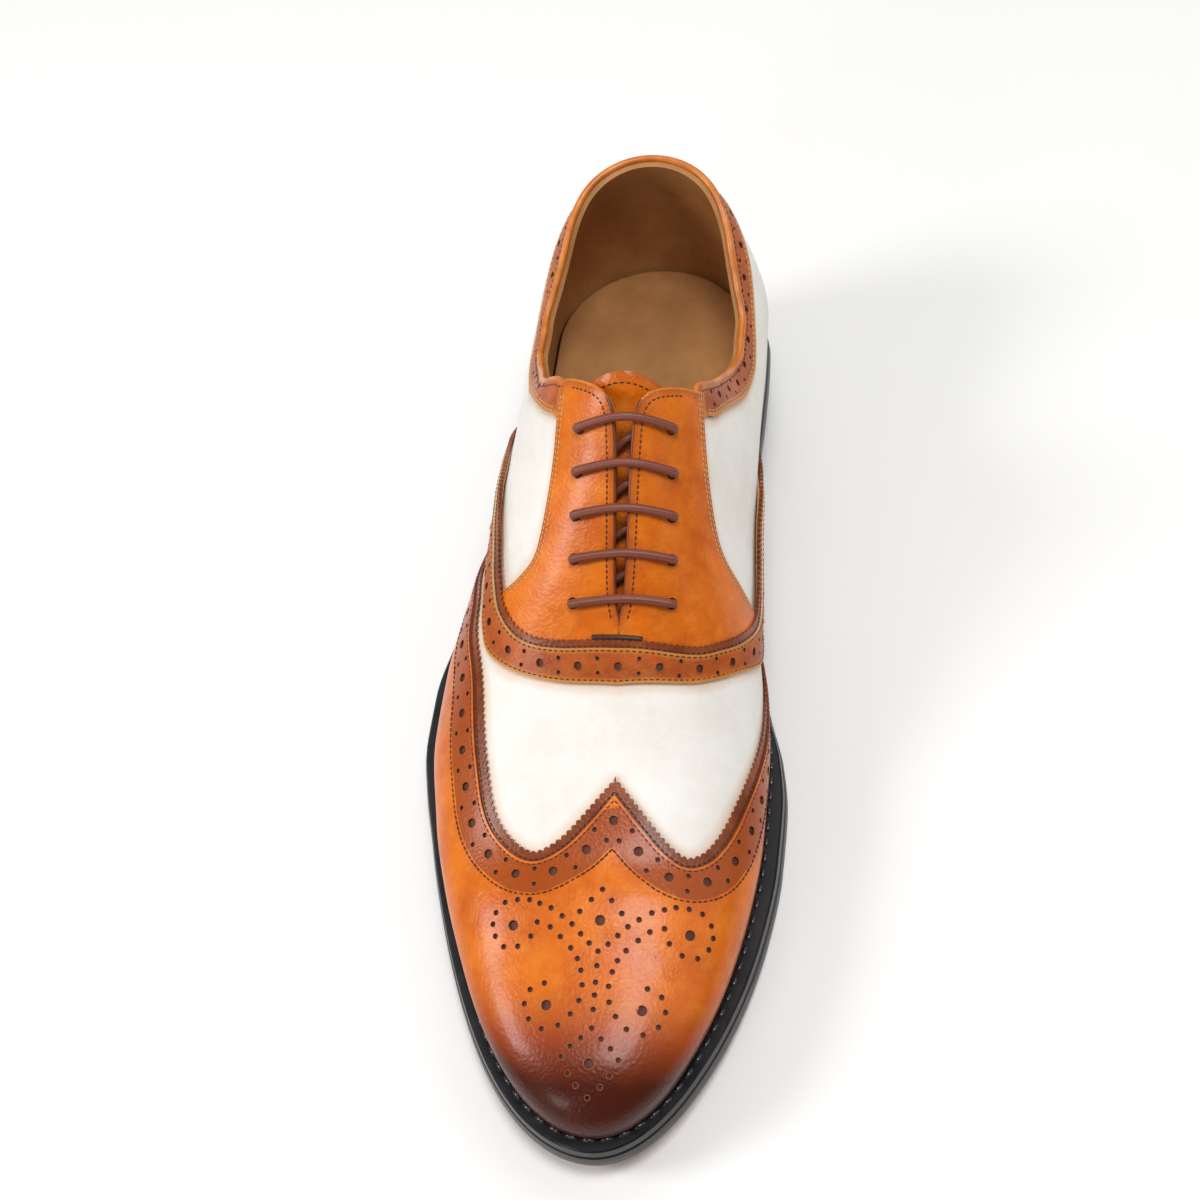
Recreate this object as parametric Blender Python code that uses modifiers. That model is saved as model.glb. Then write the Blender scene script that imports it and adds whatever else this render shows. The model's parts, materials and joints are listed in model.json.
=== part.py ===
"""Spectator shoe for the right foot: a closed-laced wing-tip in two leathers, piece by piece.

Frame: the toe points to -Y, the heel to +Y, +Z is up and the shoe stands on Z = 0.
Side -1 is the lateral side (-X), side +1 the medial side (+X). Lengths are in metres.
"""
import math

import bmesh
import bpy
import numpy as np
from mathutils import Vector
from mathutils.geometry import delaunay_2d_cdt

# Driving sizes of the sole
SHOE_LENGTH = 0.304
BALL_LATERAL = 0.0656           # from the centre line to the sole's lateral edge at the ball
BALL_MEDIAL = 0.0493            # from the centre line to the sole's medial edge at the ball
HEEL_RISE = 0.0245              # underside of the sole above the floor at the heel
TOE_SPRING = 0.0096             # underside of the sole above the floor at the toe
OUTSOLE_THICKNESS = 0.006
WELT_THICKNESS = 0.0035
SOLE_FLARE = 0.0016             # how far the sole's edge leans in up to the welt's top
SOLE_STEP = 0.0004              # how far the welt's edge steps in from the outsole's edge
EDGE_CHAMFER = 0.0008
WELT_WIDTH = 0.0145
HEEL_LENGTH = 0.071
HEEL_TAPER = 0.0022             # how far the heel's foot is drawn in at its back and sides
BREAST_HOLLOW = 0.004           # depth of the curve in the heel's front
TOP_LIFT_THICKNESS = 0.006
LIFT_COUNT = 3

# Driving sizes of the upper
UPPER_LATERAL = 0.0563          # from the centre line to the upper's lateral side at the ball
UPPER_MEDIAL = 0.0424
TUCK = 0.006                    # most that the upper draws in between its widest line and the welt
SWELL_HEIGHT = 0.016            # widest line above the welt at the instep
INSTEP_HEIGHT = 0.085           # ridge of the instep above the welt, at the top of the throat
TOE_BOX_HEIGHT = 0.029          # ridge of the vamp above the welt, at the tip of the cap's wing
BACK_HEIGHT = 0.057             # topline above the welt at the back seam
HEEL_MARGIN = 0.0035            # upper's foot inside the sole's edge at the heel
TOE_MARGIN = 0.007              # upper's foot inside the sole's edge at the toe
RIDGE_OFFSET = 0.0025           # ridge of the toe box towards the medial side
HEEL_CURVE = 0.012              # swell of the back seam
HEEL_LEAN = 0.005               # how far the back seam leans forward at the topline
TOE_SETBACK = 0.007             # how far the toe box curves back over its end wall
SLIT_HALF = 0.0034              # half the gap between the facings at its top
WALL = 0.0022
OVERLAY = 0.0011                # thickness of the leather laid over the upper
CLEARANCE = 0.0003
INSOLE_COVER = 0.0025           # insole above the welt's top
TONGUE_THICKNESS = 0.002
LACE_DIAMETER = 0.0026
EYELET_DIAMETER = 0.0034
EYELET_SPREAD = (0.0150, 0.0165)    # eyelet from the ridge, around the instep, on each side
EYELET_PAIRS = 5
BACKSTAY_TOP = 0.0065           # half widths of the backstay
BACKSTAY_FOOT = 0.0085

# Sole seen from above: share of the length from the heel, shares of BALL_LATERAL and BALL_MEDIAL
SOLE_OUTLINE = np.array([
    (0.000, 0.556, 0.740), (0.070, 0.572, 0.755), (0.140, 0.584, 0.767), (0.200, 0.598, 0.757),
    (0.270, 0.625, 0.722), (0.335, 0.678, 0.677), (0.400, 0.777, 0.677), (0.467, 0.915, 0.763),
    (0.533, 0.991, 0.876), (0.585, 1.000, 0.966), (0.635, 0.966, 1.000), (0.700, 0.893, 0.986),
    (0.765, 0.828, 0.953), (0.830, 0.780, 0.921), (0.880, 0.753, 0.892), (0.920, 0.738, 0.868),
    (0.960, 0.726, 0.852), (1.000, 0.713, 0.840)])

# Underside of the sole: share of the length from the heel, shares of HEEL_RISE and TOE_SPRING
SOLE_PROFILE = np.array([
    (0.000, 1.000, 0.00), (0.100, 0.988, 0.00), (0.200, 0.947, 0.00), (0.270, 0.837, 0.00),
    (0.340, 0.592, 0.00), (0.420, 0.286, 0.00), (0.500, 0.082, 0.00), (0.560, 0.000, 0.00),
    (0.620, 0.000, 0.00), (0.690, 0.000, 0.00), (0.740, 0.000, 0.05), (0.820, 0.000, 0.24),
    (0.900, 0.000, 0.54), (1.000, 0.000, 1.00)])

# Sections of the upper, heel to toe: share of its length, widest line as shares of UPPER_LATERAL
# and UPPER_MEDIAL, draw-in at the welt on each side as shares of TUCK, height of the widest line as
# a share of SWELL_HEIGHT
UPPER_GIRTH = np.array([
    (0.000, 0.666, 0.873, 0.42, 0.42, 0.94), (0.050, 0.675, 0.877, 0.42, 0.45, 0.94),
    (0.100, 0.685, 0.882, 0.42, 0.50, 0.94), (0.180, 0.710, 0.886, 0.50, 0.67, 0.94),
    (0.250, 0.728, 0.868, 0.58, 0.83, 0.94), (0.330, 0.755, 0.859, 0.67, 1.00, 1.00),
    (0.365, 0.782, 0.859, 0.70, 1.00, 1.00), (0.400, 0.810, 0.868, 0.75, 1.00, 1.00),
    (0.480, 0.909, 0.910, 0.67, 0.75, 0.94), (0.553, 0.984, 0.972, 0.50, 0.50, 0.88),
    (0.620, 1.000, 1.000, 0.42, 0.42, 0.81), (0.700, 0.940, 0.984, 0.42, 0.42, 0.75),
    (0.780, 0.863, 0.950, 0.33, 0.33, 0.69), (0.860, 0.798, 0.922, 0.33, 0.33, 0.63),
    (0.930, 0.769, 0.903, 0.33, 0.33, 0.56), (1.000, 0.755, 0.920, 0.33, 0.33, 0.38)])

# Ridge of those sections: share of the upper's length, height above the welt as the sum of shares
# of BACK_HEIGHT, INSTEP_HEIGHT and TOE_BOX_HEIGHT, roundness of the section, and the ridge's place
# as a share of RIDGE_OFFSET. Behind the throat the ridge is only where the two sides would meet.
UPPER_RIDGE = np.array([
    (0.000, 1.37, 0.00, 0.00, 1.75, 0.00), (0.050, 1.28, 0.00, 0.00, 1.70, 0.00),
    (0.100, 1.15, 0.00, 0.00, 1.60, 0.00), (0.180, 0.90, 0.09, 0.00, 1.50, 0.00),
    (0.250, 0.50, 0.42, 0.00, 1.50, 0.12), (0.330, 0.00, 1.00, 0.00, 1.55, 0.32),
    (0.365, 0.00, 0.98, 0.00, 1.58, 0.40), (0.400, 0.00, 0.93, 0.00, 1.60, 0.40),
    (0.480, 0.00, 0.80, 0.00, 1.70, 0.36), (0.553, 0.00, 0.65, 0.00, 1.80, 0.32),
    (0.620, 0.00, 0.47, 0.15, 1.90, 0.40), (0.700, 0.00, 0.22, 0.57, 2.00, 0.60),
    (0.780, 0.00, 0.00, 1.00, 2.10, 0.80), (0.860, 0.00, 0.00, 0.80, 2.20, 1.00),
    (0.930, 0.00, 0.00, 0.65, 2.20, 1.00), (0.965, 0.00, 0.00, 0.56, 2.20, 0.80),
    (1.000, 0.00, 0.00, 0.42, 2.20, 0.00)])

# Topline around the ankle: share of the upper's length, height above the welt as shares of
# BACK_HEIGHT and INSTEP_HEIGHT
TOPLINE = np.array([
    (0.000, 1.00, 0.00), (0.050, 0.94, 0.00), (0.100, 0.81, 0.00), (0.140, 0.69, 0.00),
    (0.180, 0.60, 0.00), (0.210, 0.60, 0.00), (0.245, 0.50, 0.12), (0.290, 0.30, 0.41),
    (0.330, 0.00, 0.80)])

# Edge of each facing: share of the upper's length, distance from the ridge as a share of SLIT_HALF
FACING_EDGE = np.array([
    (0.336, 5.60), (0.347, 3.90), (0.358, 2.80), (0.370, 1.95), (0.385, 1.30), (0.400, 1.03),
    (0.430, 0.75), (0.500, 0.60), (0.530, 0.42), (0.550, 0.00)])

# Stations of the upper from heel to toe, and its rows from the welt to the top edge
STATIONS = np.array([
    0.000, 0.004, 0.015, 0.033, 0.057, 0.085, 0.115, 0.150, 0.190, 0.230, 0.268, 0.300, 0.322,
    0.336, 0.347, 0.358, 0.370, 0.385, 0.403, 0.430, 0.462, 0.495, 0.525, 0.550, 0.580, 0.612,
    0.645, 0.680, 0.715, 0.750, 0.785, 0.820, 0.853, 0.884, 0.911, 0.935, 0.956, 0.973, 0.986,
    0.995, 1.000])
ROWS = np.array([0.0, 0.08, 0.17, 0.27, 0.38, 0.50, 0.62, 0.74, 0.87, 1.0])
SLIT_END = int(np.argmin(np.abs(STATIONS - FACING_EDGE[-1, 0])))

EYELET_TOP = 0.389              # length share of the uppermost pair
EYELET_BOTTOM = 0.532
TONGUE_TOP = 0.343
TONGUE_FOOT = 0.600
TONGUE_ROUND = 0.035            # how far the tongue's corners fall back from its top
TONGUE_HALF = (0.20, 0.27)      # half width as a share of the half girth, at its foot and its top
TONGUE_SEAT = -0.0027           # depth of the tongue's face under the upper's face, where stitched
TONGUE_DEPTH = -0.0070          # higher up, where the lace runs between them
TONGUE_CREST = -0.0045          # and at its top
PLUG_PLAY = 0.0008              # play of the insole in the welt's opening
COVER_PLAY = 0.0008             # and inside the upper's foot
SOLE_RUNGS = 44
BAR_LIFT = 0.0005               # gap between a bar of the lace and the facing
RUN_LIFT = 0.0009               # gap between the lace's hidden runs and the upper's inside
LACE_TURN = 0.0015              # bend of the lace at an eyelet
LACE_ASIDE = 0.0046             # the run back to the top eyelet, beside the eyelets
SEAM_GAP = 0.0032               # length share between two leathers that meet edge to edge
SEAM_SHARE = 0.013              # and the same across them, as a share of the half girth

# Outlines of the overlays as (share of the upper's length, share of the half girth from the welt).
# The wing of the toe cap on each side, from the waist to the peak at the ridge
WING_EDGE = {
    -1: [(0.33, 0.0), (0.36, 0.11), (0.40, 0.21), (0.448, 0.316), (0.489, 0.402), (0.527, 0.437),
         (0.582, 0.485), (0.656, 0.495), (0.700, 0.505), (0.725, 0.530), (0.743, 0.580),
         (0.754, 0.640), (0.755, 0.700), (0.743, 0.790), (0.722, 0.880), (0.688, 1.0)],
    1: [(0.36, 0.0), (0.40, 0.06), (0.45, 0.10), (0.50, 0.15), (0.56, 0.22), (0.62, 0.31),
        (0.68, 0.41), (0.720, 0.48), (0.742, 0.54), (0.752, 0.60), (0.753, 0.66), (0.742, 0.75),
        (0.720, 0.86), (0.688, 1.0)]}
# The band across the vamp: its upper edge and its lower edge on each side, waist to ridge
BAND_UPPER = {
    -1: [(0.21, 0.0), (0.25, 0.12), (0.30, 0.23), (0.35, 0.325), (0.40, 0.41), (0.449, 0.505),
         (0.491, 0.555), (0.525, 0.60), (0.551, 0.68), (0.562, 0.80), (0.564, 1.0)],
    1: [(0.235, 0.0), (0.27, 0.08), (0.33, 0.17), (0.38, 0.22), (0.45, 0.27), (0.49, 0.34),
        (0.523, 0.47), (0.545, 0.60), (0.560, 0.74), (0.564, 1.0)]}
BAND_LOWER = {
    -1: [(0.26, 0.0), (0.30, 0.12), (0.35, 0.225), (0.40, 0.315), (0.446, 0.40), (0.490, 0.455),
         (0.533, 0.49), (0.560, 0.53), (0.584, 0.64), (0.594, 0.80), (0.594, 1.0)],
    1: [(0.29, 0.0), (0.33, 0.06), (0.38, 0.11), (0.44, 0.15), (0.49, 0.19), (0.53, 0.30),
        (0.562, 0.49), (0.580, 0.61), (0.590, 0.74), (0.594, 1.0)]}
# The facing's outer edge, from the topline to its foot at the band
FACING_OUTER = {
    -1: [(0.340, 0.778), (0.367, 0.770), (0.422, 0.754), (0.467, 0.730), (0.488, 0.700),
         (0.500, 0.640), (0.504, 0.600)],
    1: [(0.320, 0.712), (0.351, 0.700), (0.403, 0.667), (0.445, 0.621), (0.465, 0.560),
        (0.476, 0.450), (0.482, 0.370)]}
# Lower edge of the band around the topline on each side, from the back seam to the facing
COLLAR_LOWER = {
    -1: [(0.0, 0.58), (0.05, 0.55), (0.10, 0.47), (0.145, 0.405), (0.204, 0.375), (0.235, 0.39),
         (0.276, 0.46), (0.310, 0.555), (0.339, 0.645), (0.354, 0.70), (0.362, 0.740)],
    1: [(0.0, 0.58), (0.05, 0.55), (0.10, 0.47), (0.145, 0.41), (0.204, 0.37), (0.230, 0.375),
        (0.263, 0.42), (0.295, 0.49), (0.323, 0.57), (0.340, 0.625), (0.347, 0.670)]}


def along(table, column, s):
    """A smooth curve through one column of a table that never overshoots its points."""
    x = table[:, 0]
    y = table[:, column]
    step = np.diff(x)
    slope = np.diff(y) / step
    tangent = np.zeros(len(x))
    tangent[0] = slope[0]
    tangent[-1] = slope[-1]
    same = slope[:-1] * slope[1:] > 0
    before = 2 * step[1:] + step[:-1]
    after = step[1:] + 2 * step[:-1]
    safe = np.where(same, slope[:-1], 1.0)
    safe_next = np.where(same, slope[1:], 1.0)
    tangent[1:-1] = np.where(same, (before + after) / (before / safe + after / safe_next), 0.0)
    s = np.clip(s, x[0], x[-1])
    k = np.clip(np.searchsorted(x, s, side="right") - 1, 0, len(x) - 2)
    h = step[k]
    t = (s - x[k]) / h
    return (y[k] * (1 + 2 * t) * (1 - t) ** 2 + h * tangent[k] * t * (1 - t) ** 2
            + y[k + 1] * t ** 2 * (3 - 2 * t) - h * tangent[k + 1] * t ** 2 * (1 - t))


def rounded_ends(s, heel_share=0.115, toe_share=0.30):
    """Elliptic ends: 1 along the middle, falling to 0 at the heel and at the toe."""
    heel = np.clip(1 - s / heel_share, 0, 1)
    toe = np.clip((s - (1 - toe_share)) / toe_share, 0, 1)
    return np.sqrt(np.maximum(1 - heel ** 2, 0)) * np.sqrt(np.maximum(1 - toe ** 2, 0))


def half_widths(s):
    """Lateral and medial half widths of the sole at a share of its length."""
    ends = rounded_ends(s)
    return (BALL_LATERAL * along(SOLE_OUTLINE, 1, s) * ends,
            BALL_MEDIAL * along(SOLE_OUTLINE, 2, s) * ends)


WIDTH_SCAN = half_widths(np.linspace(0, 1, 400))
CENTRE_X = (WIDTH_SCAN[1].max() - WIDTH_SCAN[0].max()) / 2    # middle of the sole's width
HEEL_Y = SHOE_LENGTH / 2


def underside(y):
    """Height of the sole's underside above the floor."""
    s = (HEEL_Y - y) / SHOE_LENGTH
    return HEEL_RISE * along(SOLE_PROFILE, 1, s) + TOE_SPRING * along(SOLE_PROFILE, 2, s)


def seat(y):
    """Height at which the upper stands, just clear of the welt's top."""
    return underside(y) + OUTSOLE_THICKNESS + WELT_THICKNESS + CLEARANCE


def section(s, side, count=160):
    """One side of the upper at station s, from the welt over the widest line up to the ridge.

    Below the widest line the wall is a parabola, above it a quarter of a superellipse. The heel's
    and the toe's end walls are curved by moving the points along Y with their height.
    """
    start = HEEL_Y - HEEL_MARGIN
    length = SHOE_LENGTH - HEEL_MARGIN - TOE_MARGIN
    y = start - length * s
    ends = rounded_ends(s)
    column = 1 if side < 0 else 2
    half = UPPER_LATERAL if side < 0 else UPPER_MEDIAL
    widest = half * along(UPPER_GIRTH, column, s) * ends
    tuck = TUCK * along(UPPER_GIRTH, column + 2, s) * ends
    rise = (BACK_HEIGHT * along(UPPER_RIDGE, 1, s) + INSTEP_HEIGHT * along(UPPER_RIDGE, 2, s)
            + TOE_BOX_HEIGHT * along(UPPER_RIDGE, 3, s))
    roundness = along(UPPER_RIDGE, 4, s)
    ridge_x = side * RIDGE_OFFSET * along(UPPER_RIDGE, 5, s) * ends
    swell = min(SWELL_HEIGHT * along(UPPER_GIRTH, 5, s), 0.55 * rise)
    low = count // 4
    k = np.linspace(0, 1, low, endpoint=False)
    angle = np.linspace(0, math.pi / 2, count - low)
    reach = (widest - ridge_x) * np.maximum(np.cos(angle), 0) ** (2 / roundness)
    x = np.concatenate([widest - tuck * (1 - k) ** 2, ridge_x + reach])
    height = np.concatenate([k * swell, swell + (rise - swell) * np.sin(angle) ** (2 / roundness)])
    heel_fade = max(0.0, 1 - s / 0.25) ** 2
    share = height / BACK_HEIGHT
    bend = heel_fade * (HEEL_CURVE * share * (1 - share) - HEEL_LEAN * share ** 2)
    toe_fade = max(0.0, (s - 0.85) / 0.15) ** 2
    share = height / rise
    bend = bend + toe_fade * TOE_SETBACK * (share ** 2.5 - 0.85 * share * (1 - share) ** 2)
    return np.stack([side * x - CENTRE_X, y + bend, seat(y) + height], axis=1)


def girth_share(points):
    """Share of the half girth from the welt at each point of a section."""
    arc = np.concatenate([[0], np.cumsum(np.linalg.norm(np.diff(points, axis=0), axis=1))])
    return arc / arc[-1]


def at_share(points, share):
    """Points of a section at the given shares of its half girth."""
    arc = girth_share(points)
    return np.stack([np.interp(share, arc, points[:, k]) for k in range(3)], axis=-1)


def top_share(s, side):
    """Share of the half girth at which the wall ends: the topline, then the facing's edge."""
    points = section(s, side)
    arc = girth_share(points)
    height = BACK_HEIGHT * along(TOPLINE, 1, s) + INSTEP_HEIGHT * along(TOPLINE, 2, s)
    by_height = np.interp(height, points[:, 2] - points[0, 2], arc)
    gap = SLIT_HALF * along(FACING_EDGE, 1, s)
    from_ridge = np.abs(points[:, 0] - points[-1, 0])
    by_gap = np.interp(-gap, -from_ridge[len(arc) // 4:], arc[len(arc) // 4:])
    blend = np.clip((s - 0.318) / (FACING_EDGE[0, 0] - 0.318), 0, 1)
    if s >= FACING_EDGE[-1, 0]:
        return 1.0
    return (1 - blend) * min(by_height, 0.97) + blend * by_gap


def cover(side, s, share, depth=0.0):
    """Point of the upper's whole form, with the throat closed, at a signed distance from it.

    Depth is negative under the form.
    """
    here = at_share(section(s, side), share)
    if depth == 0:
        return here
    step = 0.002
    along_s = at_share(section(s + step, side), share) - at_share(section(s - step, side), share)
    low = at_share(section(s, side), share - 0.01)
    high = at_share(section(s, side), share + 0.01) if share < 0.99 else (
        at_share(section(s, -side), 0.99))
    normal = np.cross(high - low, along_s) * side
    return here + depth * normal / np.linalg.norm(normal)


def new_object(name, mesh, colour, roughness, metallic=0.0):
    """An object in the shoe's collection with its own plain material."""
    material = bpy.data.materials.new(name)
    material.use_nodes = True
    shader = material.node_tree.nodes["Principled BSDF"]
    shader.inputs["Base Color"].default_value = (*colour, 1.0)
    shader.inputs["Roughness"].default_value = roughness
    shader.inputs["Metallic"].default_value = metallic
    obj = bpy.data.objects.new(name, mesh)
    mesh.materials.append(material)
    SHOE.objects.link(obj)
    return obj


def new_mesh(name, vertices, faces):
    """A mesh from points and faces, welded, with its normals made to agree."""
    bm = bmesh.new()
    made = [bm.verts.new(v) for v in vertices]
    for face in faces:
        try:
            bm.faces.new([made[k] for k in face])
        except ValueError:
            continue
    bmesh.ops.remove_doubles(bm, verts=bm.verts, dist=1e-6)
    bmesh.ops.dissolve_degenerate(bm, edges=bm.edges, dist=1e-7)
    mesh = bpy.data.meshes.new(name)
    bm.to_mesh(mesh)
    bm.free()
    return mesh


def face_outwards(obj):
    """Turn a closed mesh's faces outwards."""
    bm = bmesh.new()
    bm.from_mesh(obj.data)
    bmesh.ops.recalc_face_normals(bm, faces=bm.faces)
    bm.to_mesh(obj.data)
    bm.free()


def thicken(obj, thickness, offset):
    """A wall of even thickness; offset -1 puts it inside the surface and 1 outside."""
    wall = obj.modifiers.new("wall", "SOLIDIFY")
    wall.thickness = thickness
    wall.offset = offset
    wall.use_even_offset = False
    wall.use_rim = True


def sole_edge(s):
    """Lateral and medial half widths and place of the sole's edge."""
    return (*half_widths(s), HEEL_Y - SHOE_LENGTH * s)


def upper_foot(s):
    """The same for the foot of the upper, where it meets the welt."""
    foot = np.array([[section(k, side)[0] for k in s] for side in (-1, 1)])
    return -foot[0, :, 0] - CENTRE_X, foot[1, :, 0] + CENTRE_X, foot[0, :, 1]


def contour(inset, front=None, count=36, edge=sole_edge):
    """An outline drawn in by inset: matching lateral and medial points, heel to toe.

    With front the outline stops there, for a heel.
    """
    turn = np.linspace(0, math.pi, 400)
    lateral, medial, y = edge((1 - np.cos(turn)) / 2)
    loop = np.concatenate([np.stack([-lateral, y], axis=1), np.stack([medial, y], axis=1)[-2:0:-1]])
    tangent = np.roll(loop, -1, axis=0) - np.roll(loop, 1, axis=0)
    tangent /= np.linalg.norm(tangent, axis=1)[:, None]
    loop = loop + inset * np.stack([-tangent[:, 1], tangent[:, 0]], axis=1)
    sides = loop[:len(y)], np.concatenate([loop[:1], loop[len(y):][::-1], loop[len(y) - 1:len(y)]])
    back = loop[0, 1]
    if front is None:
        rungs = back + (loop[len(y) - 1, 1] - back) * (1 - np.cos(np.linspace(0, math.pi, count))) / 2
    else:
        rungs = back + (front - back) * (1 - np.cos(np.linspace(0, math.pi / 2, count)))
    x = [np.interp(-rungs, -side[:, 1], side[:, 0]) - CENTRE_X for side in sides]
    return np.stack([x[0], rungs], axis=1), np.stack([x[1], rungs], axis=1)


def slab(name, levels, front=None, across=2, hollow=0.0, hole=False, count=36):
    """A solid between contours, one for each (inset, height function) level of the sole's edge.

    A level's third entry, if it has one, is the edge to draw in instead of the sole's.

    A hole joins the last level to the first, which makes a ring; otherwise the first and last
    levels are closed over from side to side. Hollow draws in the middle of a heel's front.
    """
    share = np.linspace(0, 1, across)
    vertices = []
    for inset, height, *edge in levels:
        lateral, medial = contour(inset, front, count, *edge)
        rungs = lateral[:, None] + (medial - lateral)[:, None] * share[None, :, None]
        if front is not None:
            rungs[-1, :, 1] += hollow * (1 - (2 * share - 1) ** 2)
        level = np.concatenate([rungs, height(rungs[..., 1:2])], axis=2)
        vertices.extend(level.reshape(-1, 3))

    def at(level, i, a):
        return (level * count + i) * across + a

    faces = []
    last = len(levels) - 1
    for i in range(count - 1):
        for a in range(across - 1):
            if not hole:
                faces.append((at(0, i, a), at(0, i, a + 1), at(0, i + 1, a + 1), at(0, i + 1, a)))
                faces.append((at(last, i, a), at(last, i + 1, a), at(last, i + 1, a + 1),
                              at(last, i, a + 1)))
        for level in range(last + 1 if hole else last):
            above = (level + 1) % (last + 1)
            for a in (0, across - 1):
                faces.append((at(level, i, a), at(level, i + 1, a), at(above, i + 1, a),
                              at(above, i, a)))
    if front is not None:
        for level in range(last):
            for a in range(across - 1):
                end = count - 1
                faces.append((at(level, end, a), at(level, end, a + 1), at(level + 1, end, a + 1),
                              at(level + 1, end, a)))
    return new_mesh(name, vertices, faces)


def sole_pieces():
    """Outsole, welt and insole, stacked on one another."""
    def over(height):
        return lambda y: underside(y) + height

    edge = SOLE_FLARE * OUTSOLE_THICKNESS / (OUTSOLE_THICKNESS + WELT_THICKNESS) - SOLE_STEP
    outsole = new_object("outsole", slab("outsole", [
        (EDGE_CHAMFER, over(0)), (0, over(EDGE_CHAMFER)), (edge, over(OUTSOLE_THICKNESS - CLEARANCE))],
        count=SOLE_RUNGS), (0.035, 0.028, 0.024), 0.5)
    low = OUTSOLE_THICKNESS
    high = OUTSOLE_THICKNESS + WELT_THICKNESS
    welt = new_object("welt", slab("welt", [
        (edge + SOLE_STEP, over(low)), (SOLE_FLARE, over(high)), (WELT_WIDTH, over(high)),
        (WELT_WIDTH, over(low))], hole=True, count=SOLE_RUNGS), (0.012, 0.012, 0.014), 0.35)
    plug = WELT_WIDTH + PLUG_PLAY
    cover = WALL + COVER_PLAY
    insole = new_object("insole", slab("insole", [
        (plug, over(low)), (plug, over(high + CLEARANCE)),
        (cover, over(high + CLEARANCE), upper_foot),
        (cover, over(high + CLEARANCE + INSOLE_COVER), upper_foot)], count=SOLE_RUNGS),
        (0.45, 0.24, 0.10), 0.6)
    for piece in (outsole, welt, insole):
        face_outwards(piece)


def heel_pieces():
    """Stacked lifts from the sole down to a flat top lift on the floor."""
    front = HEEL_Y - HEEL_LENGTH
    lift = (HEEL_RISE * 0.93 - TOP_LIFT_THICKNESS) / LIFT_COUNT

    def flat(height):
        return lambda y: np.full_like(y, height)

    def inset(height):
        return HEEL_TAPER * (1 - height / HEEL_RISE) + EDGE_CHAMFER

    def block(name, low, high, colour, roughness):
        top = flat(high) if high is not None else lambda y: underside(y) - CLEARANCE
        levels = [(inset(low), flat(low)), (inset(high or HEEL_RISE), top)]
        if low == 0:
            levels = [(inset(0) + EDGE_CHAMFER, flat(0)), (inset(0), flat(EDGE_CHAMFER)), levels[1]]
        piece = new_object(name, slab(name, levels, front, 5, BREAST_HOLLOW, count=13), colour,
                           roughness)
        face_outwards(piece)

    block("top_lift", 0, TOP_LIFT_THICKNESS, (0.02, 0.02, 0.02), 0.7)
    for k in range(LIFT_COUNT):
        low = TOP_LIFT_THICKNESS + k * lift + CLEARANCE
        high = TOP_LIFT_THICKNESS + (k + 1) * lift if k < LIFT_COUNT - 1 else None
        block(f"heel_lift_{k + 1}", low, high, (0.05, 0.035, 0.027), 0.45)


class Upper:
    """The upper's outer surface as a grid of stations and rows, and points laid over it."""

    def __init__(self):
        self.tops = np.array([[top_share(s, side) for s in STATIONS] for side in (-1, 1)])
        self.points = np.array([[at_share(section(s, side), ROWS * self.tops[k, i])
                                 for i, s in enumerate(STATIONS)] for k, side in enumerate((-1, 1))])
        self.rows = len(ROWS) - 1
        self.last = len(STATIONS) - 1
        self.find_normals()

    def triangles(self):
        """Corner indices (side, station, row) of the surface, two triangles to a cell."""
        i, j = np.meshgrid(np.arange(self.last), np.arange(self.rows), indexing="ij")
        i = i.ravel()
        j = j.ravel()
        made = []
        for k in (0, 1):
            for corners in (((0, 0), (1, 0), (1, 1)), ((0, 0), (1, 1), (0, 1))):
                made.append(np.stack([self.index(k, i + di, j + dj) for di, dj in corners], axis=1))
        return np.concatenate(made)

    def index(self, k, i, j):
        return (k * len(STATIONS) + i) * len(ROWS) + j

    def find_normals(self):
        """Outward normals at the grid's points, shared where the two sides meet."""
        flat = self.points.reshape(-1, 3)
        faces = self.triangles()
        faces[len(faces) // 2:] = faces[len(faces) // 2:, ::-1]
        corner = flat[faces]
        normal = np.cross(corner[:, 1] - corner[:, 0], corner[:, 2] - corner[:, 0])
        key, shared = np.unique(np.round(flat / 1e-6).astype(np.int64), axis=0, return_inverse=True)
        total = np.zeros((len(key), 3))
        for c in range(3):
            np.add.at(total, shared.ravel()[faces[:, c]], normal)
        total /= np.linalg.norm(total, axis=1)[:, None]
        self.faces = faces
        self.normals = total[shared.ravel()].reshape(self.points.shape)

    def lift(self, side, i, j, offset):
        """A point on the facets at fractional station i and row j, raised along the normal."""
        k = 0 if side < 0 else 1
        low_i = int(min(max(math.floor(i), 0), self.last - 1))
        low_j = int(min(max(math.floor(j), 0), self.rows - 1))
        a = i - low_i
        b = j - low_j
        raised = self.points[k] + offset * self.normals[k]
        near = raised[low_i, low_j]
        far = raised[low_i + 1, low_j + 1]
        if b <= a:
            mid = raised[low_i + 1, low_j]
            return near + a * (mid - near) + b * (far - mid)
        mid = raised[low_i, low_j + 1]
        return near + b * (mid - near) + a * (far - mid)

    def place(self, side, s, share):
        """Fractional station and row of a share of the length and a share of the half girth."""
        i = np.interp(s, STATIONS, np.arange(len(STATIONS)))
        top = np.interp(i, np.arange(len(STATIONS)), self.tops[0 if side < 0 else 1])
        j = np.interp(share / top, ROWS, np.arange(len(ROWS)))
        return float(i), float(j)


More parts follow.
